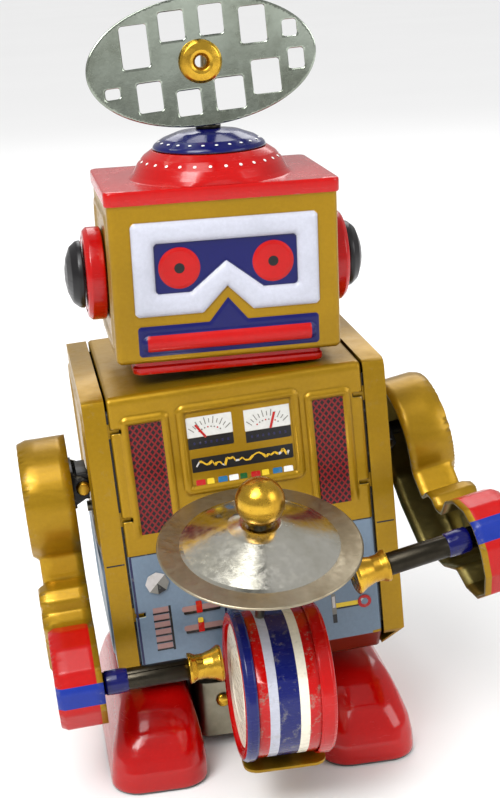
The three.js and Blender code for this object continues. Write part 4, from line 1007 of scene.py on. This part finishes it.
def snap_grid(sdf, u0, v0, u1, v1, gap, smooth=0):
    """Quads inside a signed distance field with their outline pulled onto its zero line, evened out
    smooth times. Gives the points, the quads and the directed edges of the outline."""
    def pull(u, v):
        d, e = sdf(u, v), 0.01
        gu = (sdf(u + e, v) - sdf(u - e, v)) / (2 * e)
        gv = (sdf(u, v + e) - sdf(u, v - e)) / (2 * e)
        g2 = np.maximum(gu * gu + gv * gv, 0.05)
        return u - d * gu / g2, v - d * gv / g2
    us = np.arange(u0 - gap, u1 + 2 * gap, gap)
    vs = np.arange(v0 - gap, v1 + 2 * gap, gap)
    U, W = np.meshgrid(us, vs)
    D = sdf(U, W)
    ok = D < 0.42 * gap
    cell = ok[:-1, :-1] & ok[1:, :-1] & ok[:-1, 1:] & ok[1:, 1:]
    cols = U.shape[1]
    quads, edges, heading = [], {}, {}
    for i, j in zip(*np.nonzero(cell)):
        a = int(i) * cols + int(j)
        q = (a, a + 1, a + cols + 1, a + cols)
        quads.append(q)
        for k in range(4):
            e = (q[k], q[(k + 1) % 4])
            key = (min(e), max(e))
            edges[key] = edges.get(key, 0) + 1
            heading[key] = e
    rim = sorted({p for e, c in edges.items() if c == 1 for p in e})
    pu, pv = U.ravel().copy(), W.ravel().copy()
    ru, rv = pu[rim], pv[rim]
    for _ in range(5):
        ru, rv = pull(ru, rv)
    place = {p: k for k, p in enumerate(rim)}
    near = [[] for _ in rim]
    for (a, b), c in edges.items():
        if c == 1:
            near[place[a]].append(place[b])
            near[place[b]].append(place[a])
    even = np.array([k for k, q in enumerate(near) if len(q) == 2], int)
    left = np.array([near[k][0] for k in even], int)
    right = np.array([near[k][1] for k in even], int)
    for _ in range(smooth):
        ru[even] = 0.5 * ru[even] + 0.25 * (ru[left] + ru[right])
        rv[even] = 0.5 * rv[even] + 0.25 * (rv[left] + rv[right])
        ru, rv = pull(ru, rv)
    pu[rim], pv[rim] = ru, rv
    used = sorted({p for q in quads for p in q})
    index = {p: k for k, p in enumerate(used)}
    quads = [tuple(index[p] for p in q) for q in quads]
    rim_edges = [tuple(index[p] for p in heading[e]) for e, c in edges.items() if c == 1]
    return np.stack([pu[used], pv[used]], 1), quads, rim_edges


def dish_sdf(u, v):
    k = np.sqrt((u / DISH_A) ** 2 + (v / DISH_B) ** 2)
    d = (k - 1) / np.maximum(np.hypot(u / DISH_A ** 2, v / DISH_B ** 2) / np.maximum(k, 1e-6), 1e-6)
    holes = np.full(np.shape(u), 9.0)
    for u0, v0, u1, v1 in DISH_HOLES:
        holes = np.minimum(holes, d_rect(u, v, u0, v0, u1, v1, 0.8))
    d = np.maximum(d, -holes)
    return np.maximum(d, -d_circle(u, v, 0, 0, 2.4))


P, F, _ = snap_grid(dish_sdf, -DISH_A, -DISH_B, DISH_A, DISH_B, 0.4)
yy = -0.3 - 0.0042 * P[:, 0] ** 2 - 0.003 * P[:, 1] ** 2
make("dish_plate", np.stack([P[:, 0], yy, P[:, 1]], 1), F, "dish_nickel", DISH_MIDDLE @ turn("Y", DISH_ROLL),
     "antenna", ["antenna_dish"], "nickel_plate", thick=0.6, angle=60)
eyelet = rounded([(1.5, -0.7), (2.2, -0.7), (2.2, 0.75), (5.2, 0.8), (5.6, 1.3), (4.8, 2.1), (3.0, 2.6),
                  (2.2, 2.3), (1.5, 1.2), (1.5, -0.7)], [0, 0.2, 0.2, 0.3, 0.4, 0.6, 0.5, 0.4, 0.3, 0], 4)
lathe("dish_eyelet", eyelet, "brass", DISH_MIDDLE @ turn("X", 90), "antenna", n=56, nodes=["antenna_hub"],
      slot="brass")
rod = rounded([(0, 115.4), (1.2, 115.4), (1.2, 188), (1.0, 193.3), (0, 193.6)], [0, 0.3, 1, 0.3, 0], 3)
lathe("antenna_rod", rod, "steel", HEAD @ shift(0, POST_Y, 0), "antenna", n=28, nodes=["antenna_post"],
      slot="bright_steel")

# ---- arms
# The arm's open edge and its face in x; outlines in y and z, measured from the shoulder rivet.
ARM_IN, ARM_OUT = 45.0, 58.3
UPPER = [(-11.4, -8), (-12, -24), (-8, -35), (2, -38), (9, -34), (12.4, -20), (12, -8)]
CUFF = [(-12.6, -23.6), (-17.4, -23.6), (-20, -26), (-20.6, -29), (-23.6, -31), (-24.6, -33.4), (-21, -47),
        (-8, -43), (0, -37.4), (-4, -30)]
FIST = [(-22.8, -31.4), (-31, -29.8), (-38, -31.4), (-43.4, -35.4), (-45.6, -40.6), (-45, -47), (-41, -53),
        (-34.8, -56.6), (-27.6, -56), (-21, -51.6), (-18, -45)]
ARM_DISC = (-1.5, -3, 16.5)


def fist_sdf(y, z):
    return d_poly(y, z, FIST)


def arm_sdf(y, z):
    d = soft_union(d_circle(y, z, *ARM_DISC), d_poly(y, z, UPPER), 0.8)
    d = soft_union(d, d_poly(y, z, CUFF), 1.2)
    return soft_union(d, fist_sdf(y, z), 0.8)


def mirrored(verts, faces, side):
    """The piece as it is for side 1, and its mirror image for side -1."""
    if side > 0:
        return verts, faces
    return verts * np.array([-1, 1, 1]), [f[::-1] for f in faces]


def build_arm(side):
    P, quads, rim = snap_grid(arm_sdf, -47, -58, 17, 16, 0.75, 3)
    y, z = P[:, 0], P[:, 1]
    d = arm_sdf(y, z)
    tops = [(d_circle(y, z, *ARM_DISC), ARM_OUT), (d_poly(y, z, CUFF), ARM_OUT),
            (fist_sdf(y, z), ARM_OUT - 1.0)]
    x = np.full(len(y), ARM_OUT - 1.6)
    for dd, top in tops:
        x = np.maximum(x, ARM_OUT - 1.6 + (top - ARM_OUT + 1.6) * step(dd + 0.4, 1.4))
    x -= 0.5 * bead(d_circle(y, z, 0, 0, 10.5), 1.0)
    x -= 0.45 * bead(d_line(y, z, -20, -27, -8.5, -41, 0), 0.9)
    x -= 0.4 * bead(d_line(y, z, -24, -32, -16, -45, 0), 0.9)
    for k in range(3):
        x -= 0.45 * bead(d_line(y, z, -42, -39.5 - 4.4 * k, -32, -39.5 - 4.4 * k, 0), 0.8)
    x = np.minimum(x, ARM_OUT)
    r = 1.1
    t = np.clip(-d, 0, r)
    x -= r - np.sqrt(np.maximum(r * r - (r - t) ** 2, 0))
    n = len(P)
    verts = [np.stack([x, y, z], 1)]
    # Walls: rings of the outline pushed down towards the body.
    rim_ids = sorted({p for e in rim for p in e})
    pos = {p: k for k, p in enumerate(rim_ids)}
    drops = [0.0, 0.25, 0.5, 0.75, 1.0]
    ry, rz, rx = y[rim_ids], z[rim_ids], x[rim_ids]
    for f in drops[1:]:
        verts.append(np.stack([rx + (ARM_IN - rx) * f, ry, rz], 1))
    V = np.concatenate(verts)
    m = len(rim_ids)
    faces = list(quads)
    for a, b in rim:
        for k in range(len(drops) - 1):
            top_a = a if k == 0 else n + (k - 1) * m + pos[a]
            top_b = b if k == 0 else n + (k - 1) * m + pos[b]
            faces.append((top_b, top_a, n + k * m + pos[a], n + k * m + pos[b]))
    yy, zz = V[:, 1], V[:, 2]
    over = fist_sdf(yy, zz) - 1.4
    cut = np.maximum(over, yy + 22.8 + 0.3 * (zz - HAND_Z))
    cut = np.maximum(cut, ARM_IN + 1.6 - V[:, 0])
    band = np.maximum(np.maximum(over, yy + 36), np.abs(zz - HAND_Z) - 3.0)
    # The red stops short of the open edge: a strip of gold is left beside the fist.
    step_in = np.minimum(d_circle(yy, zz, *ARM_DISC), d_poly(yy, zz, CUFF))
    # lit_facet: the recessed upper arm between the disc and the cuff, painted a lighter gold as painted
    # light.
    layers = {"fist": cut, "band": band, "lit_facet": np.maximum(d_poly(yy, zz, UPPER) - 1.0, 0.5 - step_in)}
    V, faces = mirrored(V, faces, side)
    word = WORD[side]
    make(word + "_arm_sheet", V, faces, "arm_litho", ARM[side], word + "_arm", [word + "_arm_shell"],
         "gold_litho_tin", attrs=layers, thick=0.75, back="tin_inside", angle=48)


# The upper-arm facet is a lighter gold: painted light.
gold_enamel("arm_litho", [("lit_facet", tint(GOLD, 1.25), GOLD_METAL), ("fist", RED, 0.0),
                          ("band", linear(16, 44, 140), 0.0)])
TIP = rounded([(0, 0.25), (1.6, 0.2), (2.0, 0), (4.5, 0), (4.85, 0.3), (4.85, 0.9), (3.95, 2.6), (3.3, 5),
               (3.4, 7), (4.0, 8.1), (4.1, 8.9), (1.6, 9.0), (1.5, 9.0), (1.5, 15), (0, 15)],
              [0, 0.3, 0.2, 0.2, 0.2, 0.3, 1, 1.5, 1, 0.4, 0.2, 0.1, 0, 0, 0], 4)
SLEEVE = rounded([(2.25, 0), (2.9, -0.1), (3.0, -3), (2.8, -5.6), (2.25, -6)], 0.4, 3)


def build_stick(side):
    """Rolled tube with a shallow groove along its closed seam, a brass tip and a blue sleeve at the fist."""
    word = WORD[side]
    at = ARM[side] @ shift(0, HAND_Y, HAND_Z)
    n = 40
    tube = []
    for x, r in ((22.9, 1.9), (22.8, 2.05), (23.1, 2.2), (56.0, 2.2)):
        for i in range(n):
            a = 2 * PI * i / n
            off = math.atan2(math.sin(a - 2.2), math.cos(a - 2.2))
            rr = r - 0.5 * math.exp(-(off / 0.09) ** 2)
            tube.append((side * x, rr * math.cos(a), rr * math.sin(a)))
    faces = grid_faces(4, n, closed=True)
    make(word + "_stick_tube", tube, faces if side < 0 else [f[::-1] for f in faces], "dark_steel", at,
         word + "_arm", [word + "_stick"], "dark_steel", thick=0.7, angle=50)
    tip_at, sleeve_at = [at @ shift(side * x, 0, 0) @ turn("Y", side * 90) for x in (13.5, 44.4)]
    lathe(word + "_tip_spool", TIP[::-1], "brass", tip_at, word + "_arm", n=64,
          nodes=[word + "_stick_tip"], slot="brass", angle=45)
    lathe(word + "_stick_sleeve", SLEEVE, "blue", sleeve_at, word + "_arm", n=40, slot="blue_litho_tin",
          thick=0.3)


for side, word in WORD.items():
    build_arm(side)
    build_stick(side)
    refine(word + "_shoulder_block", "black", 0.35, 3)
    refine(word + "_arm_fork", "black", 0.2, 2)
    refine(word + "_arm_rivet", "brass", 0.15, 2)

# ---- stand


# Insets of the shoe at each height: height, toe, heel, inner side, outer side.
SHOE_INSETS = np.array([
    (0, 0, 0, 0, 0), (1.2, -0.5, 0, 0, 0), (2.4, -0.7, 0, 0, 0), (6, -0.6, 0, 0.1, 0.3),
    (10, 0.6, 0, 0.6, 0.9), (13, 2.3, 0, 1.1, 1.9), (15.5, 4.2, 0.1, 1.6, 2.8), (17.8, 7.2, 0.4, 2.2, 3.7),
    (19.4, 9.6, 0.9, 2.8, 4.6), (20.6, 12.2, 1.8, 3.6, 5.6), (21.3, 14.6, 3.0, 4.6, 6.8),
    (21.6, 17.2, 4.6, 6.0, 8.4)])
SHOE_TOE, SHOE_HEEL, SHOE_IN, SHOE_OUT = -43.5, 24.0, 16.0, 42.5


def build_shoe(side):
    # Turned-in sole edge first, then the sides.
    levels = [(z, (inset,) * 4) for inset, z in ((5.0, 0.0), (0.5, 0.0), (0.12, 0.15))]
    for z in np.concatenate([np.linspace(0, 18, 22)[1:], np.linspace(18.4, 21.6, 12)]):
        levels.append((z, [np.interp(z, SHOE_INSETS[:, 0], SHOE_INSETS[:, k]) for k in range(1, 5)]))
    rings = []
    for z, (toe, heel, inner, outer) in levels:
        x0, x1 = SHOE_IN + inner, SHOE_OUT - outer
        o = ring_rect(x0, SHOE_TOE + toe, x1, SHOE_HEEL - heel, min(8.0, (x1 - x0) / 2 - 0.3), 14)
        rings.append(np.column_stack([o, np.full(len(o), z)]))
    n = len(rings[0])
    last = rings[-1]
    middle = last.mean(0)
    for f in (0.7, 0.4, 0.12):
        q = middle + (last - middle) * f
        q[:, 2] = last[0, 2] + 0.1 * (1 - f)
        rings.append(q)
    V = np.concatenate(rings)
    F = grid_faces(len(rings), n, closed=True)
    F.append([len(V) - n + k for k in range(n)])
    V, F = mirrored(V, F, side)
    # The shoe is darker along its bottom 0.9 mm.
    make(WORD[side] + "_boot", V, F, "shoe_litho", STAND, "stand", [WORD[side] + "_shoe"], "red_litho_tin",
         attrs={"dark_foot_band": V[:, 2] - 0.9}, thick=0.8, back="tin_inside", angle=50)


# dark_foot_band: darker maroon along the bottom 0.9 mm of the shoe.
enamel("shoe_litho", RED, 0.0, 0.13, 0.9, wear=0.6, layers=[("dark_foot_band", linear(52, 10, 6), 0.2)])
for side in WORD:
    build_shoe(side)

refine("pedestal", "steel", 0.4, 3)
refine("drum_bracket", "gold", 0.3, 3)
refine("waist_pin", "steel", 0.15, 2)
refine("bottom_plate", "steel", 0.15, 2)
refine("neck_saddle", "steel", 0.15, 2)
for word in WORD.values():
    refine("pedestal_rivet_" + word, "brass", 0.2, 3)

DRUM_X, DRUM_Y, DRUM_Z, DRUM_R, DRUM_HALF = 1.2, -56.0, 36.3, 19.5, 11.7
drum_at = STAND @ shift(DRUM_X, DRUM_Y, DRUM_Z) @ turn("Y", 90)
enamel("cream", linear(232, 226, 206), 0.0, 0.24, 0.5, wear=0.3)
enamel("drum_blue", linear(14, 22, 92), 0.0, 0.18, 0.7, wear=0.4)
# The hoop's stripes meet at doubled points; a slight barrel shape is added to the wide middle.
hoop = [(18.3, -9.4), (18.55, -9.2)]
for h in (-5.6, -3.2, 2.1, 4.5):
    hoop += [(18.6, h), (18.6, h)]
hoop += [(18.6, 8.1), (18.2, 8.3)]
lathe("drum_hoop", [(r + (0.12 * math.cos((h + 1) / 9 * PI / 2) if r > 18.5 else 0), h) for r, h in hoop],
      ["red", "white", "drum_blue", "cream", "tin_inside"], drum_at, "stand", n=112,
      seg_mats=[0, 0, 0, 1, 1, 2, 2, 3, 3, 0, 0], nodes=["drum_shell"], slot="red_litho_tin", thick=0.7,
      angle=60)
for side, rim, ring_end, mats in ((-1, 2.4, 18.6, ["drum_blue", "cream", "red"]),
                                  (1, 3.4, 16.6, ["red", "cream", "drum_blue"])):
    prof = rounded([(0, -0.35), (9, -0.35), (9.5, -0.1), (10, -0.35), (16.0, -0.25), (16.4, 0.5), (17.6, 0.8),
                    (18.9, 0.6), (DRUM_R, -0.3), (DRUM_R, -rim + 0.5), (19.2, -rim), (18.95, -rim)],
                   [0, 0.2, 0.2, 0.2, 0.4, 0.5, 0.6, 0.6, 0.6, 0.3, 0.1, 0], 4)
    at = STAND @ shift(DRUM_X + side * (DRUM_HALF - 0.9), DRUM_Y, DRUM_Z) @ turn("Y", side * 90)
    seg = []
    for (r0, _), (r1, _) in zip(prof[:-1], prof[1:]):
        mid = (r0 + r1) / 2
        seg.append(1 if mid < 15.9 else (2 if mid < ring_end else 0))
    lathe("drum_lid_" + WORD[side], prof, mats, at, "stand", n=112, seg_mats=seg,
          nodes=["drum_head_" + WORD[side]], slot="red_litho_tin", angle=50)

# ---- cymbal
cym = rounded([(1.75, 7.0), (5.2, 6.95), (8.0, 6.0), (19.0, 0.85), (20.0, 0.55), (25.2, 0.3), (25.6, 0.05)],
              [0, 1, 2.0, 1.6, 0.6, 0.3, 0], 6)
cone = bare_metal("cymbal_cone", linear(216, 213, 202), 0.15, linear(176, 172, 152), spread=0.07, aniso=0.7)
bare_metal("cymbal_brim", linear(170, 160, 138), 0.36, linear(118, 104, 78), spread=0.12)
cone.link(cone.node("Tangent", direction_type="UV_MAP", uv_map="uv").outputs[0], cone.bsdf.inputs["Tangent"])


def cymbal_plate():
    pts = cym[::-1]
    n = 160
    verts, uvs, fm = [], [], []
    for r, h in pts:
        for i in range(n):
            a = 2 * PI * i / n
            verts.append((r * math.cos(a), r * math.sin(a), h))
            uvs.append((i / n, r / 30))
    F = grid_faces(len(pts), n, closed=True)
    for k in range(len(pts) - 1):
        fm += [1 if (pts[k][0] + pts[k + 1][0]) / 2 > 19.6 else 0] * n
    make("cymbal_plate", verts, F, ["cymbal_cone", "cymbal_brim"], CYMBAL, "cymbal", ["cymbal"],
         "nickel_plate", face_mats=fm, uvs=uvs, thick=0.5, angle=50)


cymbal_plate()
post = rounded([(0, -23.4), (1.25, -23.4), (1.25, 4.1), (3.1, 4.1), (3.1, 5.3), (1.25, 5.3), (1.25, 10.4),
                (0, 10.4)], [0, 0.2, 0.2, 0.3, 0.3, 0.2, 0.2, 0], 3)
lathe("cymbal_rod", post, "steel", CYMBAL, "stand", n=32, nodes=["cymbal_post"], slot="bright_steel")
BALL_R, BALL_AT = 6.1, 13.1
ball = [(0, 7.35), (1.6, 7.3), (2.0, 7.35)]
for k in range(3, 37):
    a = math.radians(-90 + 5 * k * 180 / 185)
    height = BALL_AT + BALL_R * math.sin(a)
    if height > 7.5:
        ball.append((BALL_R * math.cos(a), height))
ball.append((0, BALL_AT + BALL_R))
lathe("cymbal_ball", ball, "brass", CYMBAL, "stand", n=96, nodes=["cymbal_knob"], slot="brass")

# ---- clockwork and key
for node in ("winding_key", "winding_arbor", "ratchet_wheel", "front_plate", "rear_plate", "pillar_1",
             "pillar_2", "push_rod", "friction_disc", "drive_shaft", "second_arbor", "third_arbor"):
    refine(node, "steel", 0.12, 2)
for node in ("great_wheel", "second_wheel", "third_wheel", "crank_disc", "governor"):
    refine(node, "brass", 0.06, 1)
for node in ("mainspring", "ratchet_click"):
    refine(node, "spring_steel", 0.06, 1)

flush_prints()

# ---- floor, light and camera


def stage_sheet(name, corners, material, dark, light, scale):
    """A flat sheet that only serves the picture, in a paper or cloth between two greys."""
    me = bpy.data.meshes.new(name)
    me.from_pydata(corners, [], [(0, 1, 2, 3)])
    o = add_object(name, me)
    m = Mat(material)
    m.set(Base_Color=m.mix(m.noise(scale, 2), dark, light), Roughness=0.9)
    me.materials.append(m.mat)


def area_light(name, loc, size, power):
    light = bpy.data.lights.new(name, "AREA")
    light.shape = "RECTANGLE"
    light.size = size
    light.size_y = size
    light.energy = power
    o = add_object(name, light)
    o.location = loc
    o.rotation_euler = (Vector((0, 0, 0.1)) - Vector(loc)).to_track_quat("-Z", "Y").to_euler()


def stage_and_light():
    r = 6.0
    stage_sheet("floor", [(-r, -r, 0), (r, -r, 0), (r, r, 0), (-r, r, 0)], "floor_paper",
                (0.86, 0.86, 0.86, 1), (0.9, 0.9, 0.9, 1), 3)
    scene = bpy.context.scene
    scene.world = scene.world or bpy.data.worlds.new("world")
    scene.world.use_nodes = True
    background = scene.world.node_tree.nodes.get("Background")
    background.inputs[0].default_value = (1.0, 1.0, 1.0, 1)
    background.inputs[1].default_value = 0.5
    scene.view_settings.view_transform = "Standard"
    # A dark card overhead: the polished cone and the glossy lids have something dark to show.
    x, y0, y1, z = 0.045, -0.45, 0.1, 0.62
    stage_sheet("dark_card", [(-x, y0, z), (x, y0, z), (x, y1, z), (-x, y1, z)], "card_cloth",
                (0.012, 0.012, 0.014, 1), (0.03, 0.03, 0.03, 1), 9)
    area_light("key", (-0.55, -0.55, 0.85), 0.45, 7)
    area_light("fill", (0.75, -0.5, 0.5), 0.5, 3)
    area_light("rim", (0.2, 0.8, 0.8), 0.7, 4)
    sun = bpy.data.lights.new("sky", "SUN")
    sun.energy = 1.7
    sun.angle = 0.7
    add_object("sky", sun).rotation_euler = (math.radians(24), math.radians(-16), 0)


stage_and_light()


def camera():
    az, el, roll = math.radians(-8.4), math.radians(18.1), math.radians(-6.1)
    back = Vector((math.sin(az) * math.cos(el), -math.cos(az) * math.cos(el), math.sin(el)))
    right = Vector((math.cos(az), math.sin(az), 0))
    up = back.cross(right)
    c, s = math.cos(roll), math.sin(roll)
    right, up = right * c + up * s, up * c - right * s
    rot = TORSO.to_3x3()
    right, up, back = rot @ right, rot @ up, rot @ back
    place = TORSO @ Vector((-50.1, -393.8, 224.8)) + Vector((0.1, 0, 0))
    cam = bpy.data.cameras.new("camera")
    cam.sensor_fit = "HORIZONTAL"
    cam.sensor_width = 36
    cam.lens = 1482 / 500 * 36
    cam.clip_start = 0.01
    m = Matrix((right, up, back)).transposed().to_4x4()
    m.translation = place * MM
    o = add_object("camera", cam)
    o.matrix_world = m
    bpy.context.scene.camera = o


camera()
